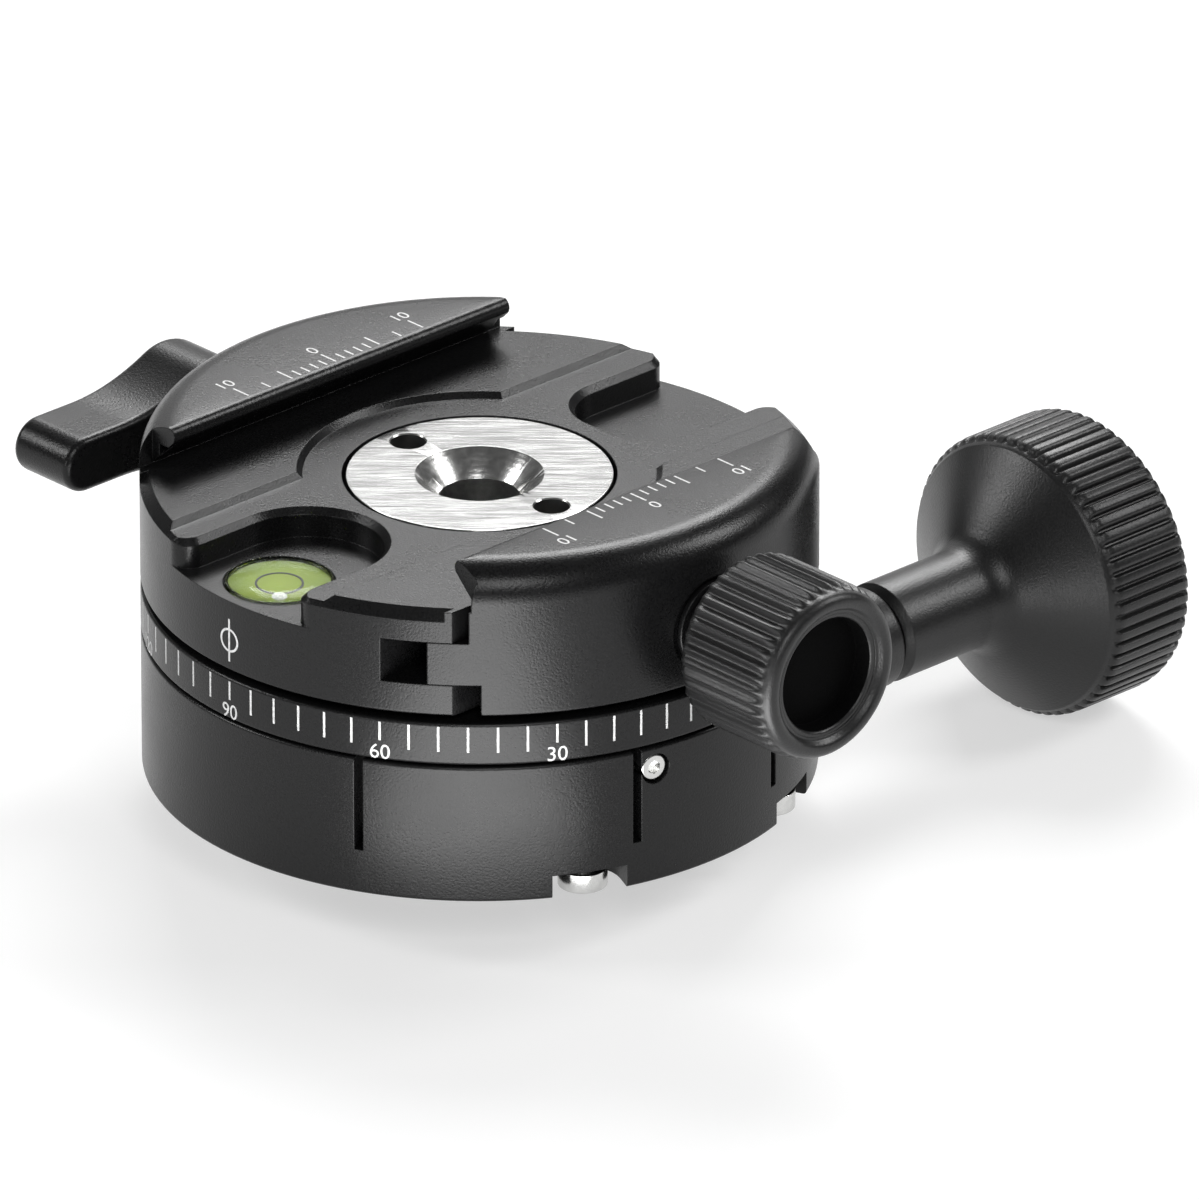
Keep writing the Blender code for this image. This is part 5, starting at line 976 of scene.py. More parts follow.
def flute_tree(name, groove):
    """A tree that mills flutes round local Z, as deep at each point as its "cut" says."""
    tree, given = node_tree(name, Int="Flutes", Float="Depth", Material="Finish")
    spot = wired(tree, "GeometryNodeInputPosition")
    across, away, along = wired(tree, "ShaderNodeSeparateXYZ", spot).node.outputs
    turns = worked(tree, "DIVIDE", worked(tree, "ARCTAN2", away, across), 2 * math.pi)
    share = worked(tree, "FRACT", worked(tree, "MULTIPLY", turns, given["Flutes"]))
    shape = wired(tree, "ShaderNodeFloatCurve", 1.0, share)
    line = shape.node.mapping.curves[0]
    line.points[0].location = (0.0, groove(0.0))
    line.points[1].location = (1.0, groove(1.0))
    for step in range(1, GROOVE_STEPS):
        line.points.new(step / GROOVE_STEPS, groove(step / GROOVE_STEPS))
    for point in line.points:
        point.handle_type = "VECTOR"
    shape.node.mapping.update()
    cut = wired(tree, "GeometryNodeInputNamedAttribute", "cut", data_type="FLOAT")
    cut = worked(tree, "MULTIPLY", worked(tree, "MULTIPLY", cut, given["Depth"]), shape)
    flat = wired(tree, "ShaderNodeCombineXYZ", across, away, 0.0)
    inwards = wired(tree, "ShaderNodeVectorMath", flat, operation="NORMALIZE")
    back = worked(tree, "MULTIPLY", cut, -1.0)
    move = wired(tree, "ShaderNodeVectorMath", inwards, Scale=back, operation="SCALE")
    milled = wired(tree, "GeometryNodeSetPosition", given["Geometry"], None, None, move)
    return closed_tree(tree, milled, given["Finish"])


def milled_groove(share):
    """How deep a flute is across its pitch: a flat-topped ridge, then a narrow groove."""
    ridge = 0.60
    if share < ridge:
        return 0.06 * (2 * share / ridge - 1) ** 2
    inside = (share - ridge) / (1 - ridge)
    return 0.06 + 0.94 * math.sin(math.pi * inside) ** 0.8


front = eased(
    (0, STEM_START, 0),
    (STEM_RADIUS - STEM_CHAMFER, STEM_START, 0.05 * MM),
    (STEM_RADIUS, STEM_START + STEM_CHAMFER, 0.12 * MM),
    (STEM_RADIUS, BELL_CORNER, BELL_HOLLOW),
    (BELL_RADIUS, BELL_END, 0.22 * MM),
    (KNOB_ROOT - 0.02 * MM, BELL_END + 0.3 * MM, 0),
    steps=8,
)[::-1]
rear = arc((KNOB_ROOT - 0.9 * MM, KNOB_END - END_ROLL), END_ROLL, 0, 90, 6)
rear += [(9.55 * MM, KNOB_END), (9.3 * MM, KNOB_END - 0.1 * MM)]
rear += [(CAP_SEAT, KNOB_END - 0.3 * MM), (CAP_SEAT, CAP_SEAT_FLOOR), (0, CAP_SEAT_FLOOR)]
stations = [
    (KNOB_FLUTE_START, KNOB_ROOT, 0.0),
    (46.95 * MM, KNOB_ROOT + 0.28 * MM, 0.26 * MM),
    (47.2 * MM, KNOB_RIM - 0.08 * MM, 0.47 * MM),
    (47.6 * MM, KNOB_RIM, FLUTE_DEPTH),
    (51.0 * MM, KNOB_RIM, FLUTE_DEPTH),
    (54.5 * MM, KNOB_RIM, FLUTE_DEPTH),
    (55.0 * MM, KNOB_RIM - 0.12 * MM, 0.45 * MM),
    (55.3 * MM, KNOB_RIM - 0.5 * MM, 0.12 * MM),
    (55.42 * MM, KNOB_RIM - 0.8 * MM, 0.0),
]
big_knob = fluted("large_knob", KNOB_FLUTES, stations, milled_groove, 8, worm_axis, (front, rear))
dressed(big_knob, turned_black, "black_anodised", "worm", "worm_knob")
cap_profile = eased(
    (0, CAP_FOOT, 0),
    (CAP_RADIUS, CAP_FOOT, 0),
    (CAP_RADIUS, KNOB_END, 0.25 * MM),
    (4.0 * MM, KNOB_END, 0),
    (3.7 * MM, KNOB_END - 0.25 * MM, 0),
    (0, KNOB_END - 0.25 * MM, 0),
)
knob_cap = turned("knob_cap", cap_profile, 144, worm_axis)
dressed(knob_cap, turned_black, "black_anodised", "worm", "worm_knob_cap")


# Upper body
# Milled from one black anodised block: the round wall, the bed with its shallow recess round the
# hub, the two pockets, the fixed dovetail jaw and the slots in which the sliding jaw runs.

HEAD_BOTTOM = 17.1 * MM
BED = 26.1 * MM
STRIP = 26.6 * MM
JAW_TOP = 30.5 * MM
TOP_FILLET = 3.2 * MM
RIM_CHAMFER = 0.9 * MM
RECESS_HALF_WIDTH = 9.7 * MM
RECESS_RADIUS = 15.1 * MM
POCKET_FLOOR = 23.5 * MM
POCKET_BEVEL = 0.55 * MM
POCKET_MOUTH = 1.6 * MM
BODY_FACE_Y = 19.2 * MM
SLOT_END_Y = 14.3 * MM
SLOT_BOTTOM = 19.9 * MM
SLOT_HEIGHT = 3.9 * MM
SLOT_START_X = 8.0 * MM
LIP_TIP_Y = 16.83 * MM
LIP_TIP_RADIUS = 0.8 * MM
FLANK_SUM = 46.2 * MM
LIP_HALF_LENGTH = 19.2 * MM
HAIRLINE = 0.02 * MM
CLAMP_HEIGHT = 22.0 * MM
CLAMP_WAY = 2.3 * MM
SPRING_OFFSET = 5.6 * MM
SPRING_WAY = 1.7 * MM
PIN_OFFSET = 10.0 * MM
PIN_WAY = 1.33 * MM
BODY_SPRING_WAY = (13.0 * MM, 20.2 * MM)
BODY_PIN_WAY = (10.5 * MM, 16.3 * MM)
BODY_CLAMP_WAY = (11.9 * MM, 20.2 * MM)
LEVER_HEIGHT = 20.3 * MM
DISC_RECESS = (11.55 * MM, 23.3 * MM)
BUSH_BORE = 8.96 * MM
DRUM_GROOVE = (10.3 * MM, 13.6 * MM, 15.1 * MM, 19.2 * MM)
WASHER_RECESS = 17.8 * MM
WASHER_TOP = 17.6 * MM
LEVEL_POCKET = (6.5 * MM, 13.2 * MM, 6.48 * MM)
PLAIN_POCKET = (6.0 * MM, 13.9 * MM, 4.8 * MM)
VIAL_CENTRE = Vector((-22.8 * MM, 0, 0))
VIAL_SEAT = (4.72 * MM, 18.4 * MM)
SHOE_CHANNEL = (-3.1 * MM, 3.1 * MM, 12.3 * MM, 19.1 * MM)
SHOE_CHANNEL_HEIGHT = 7.5 * MM
LOCK_WAY = (2.6 * MM, 18.5 * MM)


def head_round(name):
    """The full round of the head up to the jaw tops, with its rounded top edge."""
    profile = [(0, HEAD_BOTTOM), (BODY_RADIUS - ROUNDING, HEAD_BOTTOM)]
    profile += arc((BODY_RADIUS - ROUNDING, HEAD_BOTTOM + ROUNDING), ROUNDING, -90, 0, 3)[1:]
    profile += arc((BODY_RADIUS - TOP_FILLET, JAW_TOP - TOP_FILLET), TOP_FILLET, 0, 90, 14)
    profile += [(0, JAW_TOP)]
    return turned(name, profile, HOUSING_STEPS)


def lip_edge(opening):
    """A lip's edge from its root to the flat jaw top, as distances from the middle plane."""
    centre = (LIP_TIP_Y + opening + LIP_TIP_RADIUS, JAW_TOP - LIP_TIP_RADIUS)
    return [(FLANK_SUM + opening - STRIP, STRIP)] + arc(centre, LIP_TIP_RADIUS, 90, 225, 10)[::-1]


def cut_to(piece, section, side):
    """Keep what lies in a section of (distance, height) that runs out past the wall on a side."""
    top, bottom = JAW_TOP + OVERRUN, HEAD_BOTTOM - OVERRUN
    section = section + [(section[-1][0], top), (WIDE, top), (WIDE, bottom)]
    outline = [(-WIDE, side * y, z) for y, z in section]
    machined(piece, [pushed(piece.name + "_section", outline, (2 * WIDE, 0, 0))], "INTERSECT")


def lip_end(name, sign, opening, side):
    """The tool that trims a lip's end square, down to the lip's root."""
    near = side * (LIP_TIP_Y - OVERRUN)
    far = side * (FLANK_SUM + opening - STRIP)
    outline = rectangle(sign * LIP_HALF_LENGTH, sign * WIDE, near, far)
    return prism(name, outline, STRIP + HAIRLINE, JAW_TOP - STRIP + OVERRUN)


def rim_tool():
    """The chamfer round the bed's outer edge, between the two jaws."""
    low = STRIP - RIM_CHAMFER
    top_radius = BODY_RADIUS - RIM_CHAMFER - (JAW_TOP - STRIP)
    profile = [(WIDE, low - OVERRUN), (WIDE, JAW_TOP), (top_radius, JAW_TOP)]
    cone = turned("rim_tool", profile, HOUSING_STEPS)
    span = FLANK_SUM - STRIP - RIM_CHAMFER
    outline = rectangle(-WIDE, WIDE, -span, span)
    keep = prism("rim_span", outline, low - OVERRUN, RIM_CHAMFER + 2 * OVERRUN)
    return machined(cone, [keep], "INTERSECT")


def recess_ring(grow, height):
    """The middle recess: a straight band that swells to an arc round the hub."""
    half = RECESS_HALF_WIDTH + grow
    radius = RECESS_RADIUS + grow
    bend = math.degrees(math.asin(half / radius))
    outline = [(-WIDE, half)] + arc((0, 0), radius, bend, 180 - bend, 32)[::-1]
    outline += [(WIDE, half), (WIDE, -half)]
    outline += arc((0, 0), radius, bend - 180, -bend, 32)[::-1] + [(-WIDE, -half)]
    return [(x, y, height) for x, y in outline]


def between(name, lower, upper):
    """A closed solid between two outlines with the same number of points."""
    shape = bmesh.new()
    stacked(shape, [[shape.verts.new(point) for point in row] for row in (lower, upper)])
    return finished(name, shape)


def pocket_tool(name, side, half_width, start, corner):
    """A pocket's cutter, open to the outside: straight walls and a bevel at the bed."""
    shape = bmesh.new()
    levels = (
        (POCKET_FLOOR, 0.0),
        (BED - POCKET_BEVEL, 0.0),
        (BED + OVERRUN, POCKET_BEVEL + OVERRUN),
    )
    rings = []
    for height, grow in levels:
        half, radius, inner = half_width + grow, corner + grow, start - grow
        upper = arc((inner + radius, half - radius), radius, 180, 90, 20)
        centre_y = half + POCKET_MOUTH
        centre_x = math.sqrt((BODY_RADIUS - POCKET_MOUTH) ** 2 - centre_y**2)
        lean = math.degrees(math.atan2(centre_y, centre_x))
        mouth = arc((centre_x, centre_y), POCKET_MOUTH, -90, lean, 8)
        reach = WIDE / BODY_RADIUS
        upper += mouth + [(mouth[-1][0] * reach, mouth[-1][1] * reach)]
        lower = [(x, -y) for x, y in reversed(upper)]
        outline = [(side * x, y, height) for x, y in upper + lower]
        rings.append([shape.verts.new(point) for point in outline])
    stacked(shape, rings)
    return finished(name, shape)


def jaw_line(across=0.0):
    """The axis along which the jaw slides, moved sideways from the clamp screw's."""
    return laid("-Y", (across, 0, CLAMP_HEIGHT))


def guide_tools(sign, spring_way, pin_way):
    """The bores of a jaw spring and a guide pin, each from one station to another."""
    spring_line, pin_line = jaw_line(sign * SPRING_OFFSET), jaw_line(sign * PIN_OFFSET)
    spring_tool = drill(f"spring_tool_{sign}", SPRING_WAY, *spring_way, spring_line, 32)
    return [spring_tool, drill(f"pin_tool_{sign}", PIN_WAY, *pin_way, pin_line, 32)]


upper = head_round("head_body")
foot = [(-BODY_FACE_Y, HEAD_BOTTOM - OVERRUN), (-BODY_FACE_Y, STRIP)]
cut_to(upper, foot + lip_edge(0.0), 1)
rise = STRIP - BED + OVERRUN / 2
slope_foot = (STRIP - BED) / 2
recess = [recess_ring(-slope_foot, BED), recess_ring(rise - slope_foot, BED + rise)]
below = HEAD_BOTTOM - OVERRUN
vial_place = Matrix.Translation(VIAL_CENTRE)
body_tools = [
    rim_tool(),
    between("recess_tool", *recess),
    lip_end("lip_end_left", -1, 0.0, 1),
    lip_end("lip_end_right", 1, 0.0, 1),
    drill("disc_recess", *DISC_RECESS, BED + OVERRUN, None, 180),
    drill("bush_bore", BUSH_BORE, below, BED, None, 96),
    turned("drum_groove", rectangle(*DRUM_GROOVE), 96),
    drill("washer_recess", WASHER_RECESS, below, WASHER_TOP, None, 96),
    pocket_tool("level_pocket", -1, *LEVEL_POCKET),
    pocket_tool("plain_pocket", 1, *PLAIN_POCKET),
    drill("vial_seat", *VIAL_SEAT, BED + OVERRUN, vial_place, 96),
]
for sign in (-1, 1):
    slot = rectangle(sign * SLOT_START_X, sign * WIDE, -BODY_FACE_Y - OVERRUN, -SLOT_END_Y)
    body_tools.append(prism(f"slide_slot_{sign}", slot, SLOT_BOTTOM, SLOT_HEIGHT))
    body_tools += guide_tools(sign, BODY_SPRING_WAY, BODY_PIN_WAY)
clamp_line = jaw_line()
lever_line = laid("+Y", (0, 0, LEVER_HEIGHT))
body_tools += [
    drill("clamp_way", CLAMP_WAY, *BODY_CLAMP_WAY, clamp_line, 48),
    prism("shoe_channel", rectangle(*SHOE_CHANNEL), below, SHOE_CHANNEL_HEIGHT),
    drill("lock_way", *LOCK_WAY, WIDE, lever_line, 48),
]
machined(upper, body_tools)
evened(upper)
dressed(upper, blasted_black, "black_anodised", "head", "upper_body")


# Hub disc
# A bright steel disc holds the head on its spindle. Its face is drawn along one way with fine
# abrasive, its countersunk hole is turned, and two blind holes take a pin wrench.

DISC_RADIUS = 11.25 * MM
DISC_BOTTOM = 24.2 * MM
CENTRE_HOLE = 3.4 * MM
COUNTERSINK = 5.45 * MM
SPIGOT_RADIUS = 5.2 * MM
SPIGOT_END = 16.2 * MM
WRENCH_HOLE = 1.5 * MM
WRENCH_OFFSET = 8.8 * MM
WRENCH_FLOOR = 22.0 * MM
BRUSH_ANGLE = math.radians(-43.3)


def brushed_steel(name):
    """Steel drawn one way with fine abrasive: long streaks in its colour, polish and surface."""
    made, tree, shader, place = surface(name, Metallic=1.0)
    settings = {"Rotation": (0, 0, BRUSH_ANGLE), "Scale": (30.0, 1.0, 1.0)}
    along = wired(tree, "ShaderNodeMapping", place, vector_type="TEXTURE", **settings)
    grain = {"Scale": 6500, "Detail": 3.0, "Roughness": 0.7}
    streaks = wired(tree, "ShaderNodeTexNoise", along, **grain)
    tint = ramp(tree, streaks, (0.34, 0.34, 0.337), (0.66, 0.66, 0.652), 0.3, 0.7)
    rough = wired(tree, "ShaderNodeMapRange", streaks, 0.3, 0.7, 0.13, 0.24)
    normal = wired(tree, "ShaderNodeBump", Height=streaks, Strength=0.35, Distance=0.01 * MM)
    fed(shader, Base_Color=tint, Roughness=rough, Normal=normal)
    return made


disc_profile = eased(
    (CENTRE_HOLE, SPIGOT_END, 0.2 * MM),
    (SPIGOT_RADIUS, SPIGOT_END, 0.2 * MM),
    (SPIGOT_RADIUS, DISC_BOTTOM, 0),
    (DISC_RADIUS, DISC_BOTTOM, 0),
    (DISC_RADIUS, BED, 0.12 * MM),
    (COUNTERSINK, BED, 0.06 * MM),
    (CENTRE_HOLE, BED - (COUNTERSINK - CENTRE_HOLE), 0.06 * MM),
)
disc = turned("hub_plate", disc_profile, 192)
for number, sign in enumerate((-1, 1)):
    stand = Matrix.Translation((0, sign * WRENCH_OFFSET, 0))
    sink = [(0, WRENCH_FLOOR), (WRENCH_HOLE, WRENCH_FLOOR), (WRENCH_HOLE, BED - 0.1 * MM)]
    sink += [(WRENCH_HOLE + 0.3 * MM, BED + 0.2 * MM), (0, BED + 0.2 * MM)]
    machined(disc, [turned(f"wrench_tool_{number}", sink, 64, stand)])
evened(disc)
disc_face = brushed_steel("brushed_face")
disc_bore = steel("turned_bore", 0.72, 0.2, lathe=((0, 0, 0), (0, 0, 0)))
dressed(disc, disc_face, "bright_steel", "base", "hub_disc")
disc.data.materials.append(disc_bore)
# The wrench holes' walls below their chamfer get a much darker steel: painted shade in the deep
# holes.
disc.data.materials.append(steel("drilled_hole", 0.10, 0.5))
for face in disc.data.polygons:
    from_hole = math.hypot(face.center.x, abs(face.center.y) - WRENCH_OFFSET)
    if from_hole < WRENCH_HOLE + 0.02 * MM and face.center.z < BED - 0.15 * MM:
        face.material_index = 2
    else:
        face.material_index = 0 if face.normal.z > 0.9 else 1


# Bubble level
# A clear moulded cell, let into the left pocket, with yellow-green fluid, a thin black ring to
# centre the bubble by, and a small bubble that stands off centre, painted matt white as a painted
# highlight.

VIAL_RADIUS = 4.6 * MM
VIAL_TOP = 23.7 * MM
VIAL_FOOT = 18.7 * MM
VIAL_STEPS = 96
SHOULDER = 22.0 * MM
SHOULDER_TOP = 22.2 * MM
WALL_FOOT = 22.3 * MM
FLUID_RADIUS = 4.3 * MM
FLUID_TOP = 23.1 * MM
INK_RADIUS = 1.95 * MM
INK_HALF = 0.09 * MM
BUBBLE_SPOT = Vector((-24.35 * MM, -1.7 * MM, 0))
BUBBLE_RADIUS = 0.62 * MM
BUBBLE_RISE = 0.12 * MM
BUBBLE_STEPS = 8


def level_fluid(name):
    """Yellow-green spirit, with painted light and shade: lighter at the middle and darker towards
    its edge.
    """
    made, tree, shader, place = surface(
        name,
        Roughness=0.35,
        Specular_IOR_Level=0.05,
        Subsurface_Weight=0.25,
        Subsurface_Radius=(0.002, 0.002, 0.0006),
    )
    # Painted light and shade: the colour darkens with distance from the cell's middle, with a
    # little noise.
    centre = wired(tree, "ShaderNodeMapping", place, (-VIAL_CENTRE.x, 0, -FLUID_TOP))
    reach = wired(tree, "ShaderNodeVectorMath", centre, operation="LENGTH")
    cloud = wired(tree, "ShaderNodeTexNoise", place, Scale=450)
    depth = wired(tree, "ShaderNodeMath", cloud, 0.0012, reach, operation="MULTIPLY_ADD")
    share = wired(tree, "ShaderNodeMapRange", depth, 0.0, 5.0 * MM)
    fed(shader, Base_Color=ramp(tree, share, (0.40, 0.50, 0.05), (0.20, 0.28, 0.015)))
    return made


def clear_acrylic(name):
    """Clear acrylic with a trace of green and faint moulding waves."""
    clear = {"Base_Color": (0.95, 0.98, 0.93, 1), "Transmission_Weight": 1.0, "IOR": 1.16}
    return finish(name, (600, 2.0), bump=0.03, Roughness=0.13, **clear)


fluid_profile = [(0, VIAL_FOOT), (VIAL_RADIUS, VIAL_FOOT), (VIAL_RADIUS, SHOULDER)]
fluid_profile += [(FLUID_RADIUS, SHOULDER_TOP), (FLUID_RADIUS, FLUID_TOP - 0.05 * MM)]
fluid_profile += [(FLUID_RADIUS - 0.05 * MM, FLUID_TOP), (0, FLUID_TOP)]
fluid = turned("vial_fluid", fluid_profile, VIAL_STEPS, vial_place)
dressed(fluid, level_fluid("level_fluid"), "vial_green", "head", "bubble_vial")
rim_profile = eased(
    (FLUID_RADIUS + 0.03 * MM, WALL_FOOT, 0),
    (VIAL_RADIUS, WALL_FOOT, 0),
    (VIAL_RADIUS, VIAL_TOP, 0.12 * MM),
    (FLUID_RADIUS + 0.03 * MM, VIAL_TOP, 0.12 * MM),
)
vial_rim = turned("vial_rim", rim_profile, VIAL_STEPS, vial_place)
acrylic = clear_acrylic("vial_acrylic")
dressed(vial_rim, acrylic, "vial_green", "head")
window_profile = [(0, FLUID_TOP + 0.16 * MM), (FLUID_RADIUS, FLUID_TOP + 0.16 * MM)]
window_profile += [(FLUID_RADIUS, VIAL_TOP - 0.12 * MM)]
window_profile += [(FLUID_RADIUS - 0.1 * MM, VIAL_TOP - 0.05 * MM)]
window_profile += [(2.0 * MM, VIAL_TOP), (0, VIAL_TOP + 0.01 * MM)]
vial_window = turned("vial_window", window_profile, VIAL_STEPS, vial_place)
dressed(vial_window, acrylic, "vial_green", "head")
ink_levels = (FLUID_TOP + 0.02 * MM, FLUID_TOP + 0.06 * MM)
ink_line = rectangle(INK_RADIUS - INK_HALF, INK_RADIUS + INK_HALF, *ink_levels)
centre_ring = turned("vial_ring", ink_line, VIAL_STEPS, vial_place)
ring_ink = anodised("ring_ink", roughness=0.5)
dressed(centre_ring, ring_ink, "black_anodised", "head")
bubble_profile = [(0, FLUID_TOP + 0.01 * MM)]
for step in range(BUBBLE_STEPS + 1):
    angle = math.pi / 2 * step / BUBBLE_STEPS
    level = FLUID_TOP + 0.01 * MM + BUBBLE_RISE * math.sin(angle)
    bubble_profile.append((BUBBLE_RADIUS * math.cos(angle) if step < BUBBLE_STEPS else 0, level))
bubble = turned("vial_bubble", bubble_profile, 48, Matrix.Translation(BUBBLE_SPOT))
# The bubble's matt white paint is a painted highlight.
painted_bubble_highlight = engraving_paint("bubble_shine", 0.85)
dressed(bubble, painted_bubble_highlight, "vial_green", "head")


# Sliding jaw
# Milled from the same black aluminium as the body. Its lip is the fixed jaw's mirror image, two
# tongues run in the body's slots, and coil springs push it open against the clamp knob.

JAW_OPEN = 0.74 * MM
JAW_UPPER_GAP = 1.0 * MM
JAW_LOWER_GAP = 1.7 * MM
TONGUE_REACH = 1.6 * MM
SLIDE_FIT = 0.06 * MM
TONGUE_PLAY = 0.3 * MM
JAW_SPRING_WAY = (18.2 * MM, 23.4 * MM)
JAW_PIN_WAY = (17.2 * MM, 26.0 * MM)
SPOT_FACE_Y = 27.9 * MM
SPOT_FACE_RADIUS = 4.3 * MM

jaw = head_round("slide_jaw")
upper_face = BODY_FACE_Y + JAW_UPPER_GAP
lower_face = BODY_FACE_Y + JAW_LOWER_GAP
tongue_bottom = SLOT_BOTTOM + SLIDE_FIT
tongue_top = SLOT_BOTTOM + SLOT_HEIGHT - SLIDE_FIT
section = [
    (lower_face, HEAD_BOTTOM - OVERRUN),
    (lower_face, tongue_bottom),
    (BODY_FACE_Y - TONGUE_REACH, tongue_bottom),
    (BODY_FACE_Y - TONGUE_REACH, tongue_top),
    (upper_face, tongue_top),
    (upper_face, FLANK_SUM + JAW_OPEN - upper_face),
]
cut_to(jaw, section + lip_edge(JAW_OPEN)[1:], -1)
near = BODY_FACE_Y - TONGUE_REACH - OVERRUN
half = SLOT_START_X + TONGUE_PLAY
gap = rectangle(-half, half, -near, -upper_face)
jaw_tools = [prism("tongue_gap", gap, SLOT_BOTTOM - TONGUE_PLAY, SLOT_HEIGHT + 2 * TONGUE_PLAY)]
for sign in (-1, 1):
    jaw_tools.append(lip_end(f"jaw_lip_end_{sign}", sign, JAW_OPEN, -1))
    jaw_tools += guide_tools(sign, JAW_SPRING_WAY, JAW_PIN_WAY)
jaw_tools.append(drill("clamp_clearance", CLAMP_WAY, BODY_FACE_Y, WIDE, clamp_line, 48))
jaw_tools.append(drill("spot_face", SPOT_FACE_RADIUS, SPOT_FACE_Y, WIDE, clamp_line, 64))
machined(jaw, jaw_tools)
evened(jaw)
dressed(jaw, blasted_black, "black_anodised", "jaw", "moving_jaw")


# Scales on the jaws
# The same white-filled engraving as on the degree ring: ten millimetres to each side of a zero
# on both jaws, so that a plate can be set in from either end.

SCALE_LINES = (-10, -7.5, -5, -4, -3, -2, -1, 0, 1, 2, 3, 4, 5, 7.5, 10)
LINE_WIDTH = 0.17 * MM
LINE_SHORT = 1.15 * MM
LINE_LONG = 1.9 * MM
LONG_LINES = (-10, -5, 0, 5, 10)
SCALE_NUMBERS = (-10, 0, 10)
FIGURE_HEIGHT = 1.3 * MM
FIGURE_OFFSET = 1.1 * MM
SCALE_EDGE = LIP_TIP_Y + LIP_TIP_RADIUS + 0.05 * MM


def scale_line_tree():
    """A tree that lays a line along Y from each point, as long as the point's own number says."""
    tree, given = node_tree("scale_lines", Float="Width Thickness", Material="Paint")
    length = wired(tree, "GeometryNodeInputNamedAttribute", "length", data_type="FLOAT")
    size = wired(tree, "ShaderNodeCombineXYZ", given["Width"], 1.0, given["Thickness"])
    bar = wired(tree, "GeometryNodeMeshCube", size)
    stretch = wired(tree, "ShaderNodeCombineXYZ", 1.0, length, 1.0)
    feeds = (given["Geometry"], None, bar, None, None, None, stretch)
    lines = wired(tree, "GeometryNodeInstanceOnPoints", *feeds)
    return closed_tree(tree, lines, given["Paint"])


def scale_lines(name, spots, lengths, width):
    """Painted lines along Y, each centred on its spot."""
    points = dots(name, spots, length=lengths)
    sizes = {"Width": width, "Thickness": PAINT_THICKNESS, "Paint": white_paint}
    return grown(name, points, scale_lines_tree, **sizes)


def jaw_scale(name, edge, outward, body):
    """The lines and numbers of one jaw, hanging outwards from the flat top's inner edge."""
    numbers = []
    height = JAW_TOP + PAINT_MIDDLE
    lengths = [LINE_LONG if value in LONG_LINES else LINE_SHORT for value in SCALE_LINES]
    rows = zip(SCALE_LINES, lengths)
    spots = [(value * MM, edge + outward * length / 2, height) for value, length in rows]
    turn = Matrix.Rotation(0 if outward > 0 else math.pi, 4, "Z")
    drop = Matrix.Translation((0, -FIGURE_HEIGHT / 2, 0))
    for value in SCALE_NUMBERS:
        place = (value * MM, edge + outward * (LINE_LONG + FIGURE_OFFSET), height)
        spot = Matrix.Translation(place) @ turn @ drop
        numbers.append(words(str(abs(value)), FIGURE_HEIGHT, spot))
    dressed(scale_lines(name + "_lines", spots, lengths, LINE_WIDTH), white_paint, None, body)
    dressed(joined(name + "_numbers", numbers), white_paint, None, body)


scale_lines_tree = scale_line_tree()
jaw_scale("fixed_scale", SCALE_EDGE, 1, "head")
jaw_scale("slide_scale", -(SCALE_EDGE + JAW_OPEN), -1, "jaw")


# Index mark
# A white line through a small ring, engraved and filled on the head's wall above the degree
# ring, where the angle is read.

INDEX_LINE = 3.9 * MM
INDEX_MIDDLE = 19.9 * MM
INDEX_RING = 0.98 * MM
INDEX_STROKE = 0.2 * MM

index_place = on_wall(180, INDEX_MIDDLE)
index_line = scale_lines("index_line", [(0, 0, PAINT_MIDDLE)], [INDEX_LINE], INDEX_STROKE)
index_line.data.transform(index_place)
dressed(index_line, white_paint, None, "head")
inner, outer = INDEX_RING - INDEX_STROKE / 2, INDEX_RING + INDEX_STROKE / 2
index_ring = turned("index_ring", rectangle(inner, outer, -PAINT_SUNK, PAINT_PROUD), 48)
bent(index_ring.data, BODY_RADIUS)
index_ring.data.transform(index_place)
dressed(index_ring, white_paint, None, "head")


# Clamp knob
# A short turned knob of black aluminium with straight flutes, a rolled rim and a dished end. Its
# screw draws the sliding jaw in, over a plain washer in the jaw's spot face.

CLAMP_FLUTES = 42
CLAMP_RADIUS = 7.7 * MM
CLAMP_BACK = 32.1 * MM
CLAMP_FRONT = 42.8 * MM
COLLAR_START = 29.0 * MM
COLLAR_RADIUS = 3.7 * MM
SCREW_SEAT = (2.2 * MM, 37.4 * MM)
CLAMP_FLUTE_DEPTH = 0.46 * MM
RIM_ROLL = 0.85 * MM
DISH = (4.9 * MM, 40.4 * MM)
CLAMP_WASHER = (2.4 * MM, 3.9 * MM, 28.2 * MM, 28.7 * MM)


def rolled_groove(share):
    """How deep a flute is across its pitch: rounded ridges between narrow grooves."""
    return abs(math.cos(math.pi * share)) ** 1.6


rear = [(6.5 * MM, CLAMP_BACK - 0.05 * MM), (6.2 * MM, CLAMP_BACK), (3.9 * MM, CLAMP_BACK)]
rear += [(COLLAR_RADIUS, CLAMP_BACK - 0.2 * MM), (COLLAR_RADIUS, COLLAR_START + 0.15 * MM)]
rear += [(COLLAR_RADIUS - 0.15 * MM, COLLAR_START), (SCREW_SEAT[0], COLLAR_START)]
rear += [SCREW_SEAT, (0, SCREW_SEAT[1])]
rim = arc((6.43 * MM, CLAMP_FRONT - RIM_ROLL), RIM_ROLL, 20, 130, 8)
rim += [(5.72 * MM, 42.3 * MM), (5.62 * MM, 42.24 * MM), (5.45 * MM, 42.25 * MM)]
rim += arc((5.3 * MM, 41.85 * MM), 0.35 * MM, 60, 180, 5)
rim += [DISH, (0, DISH[1])]
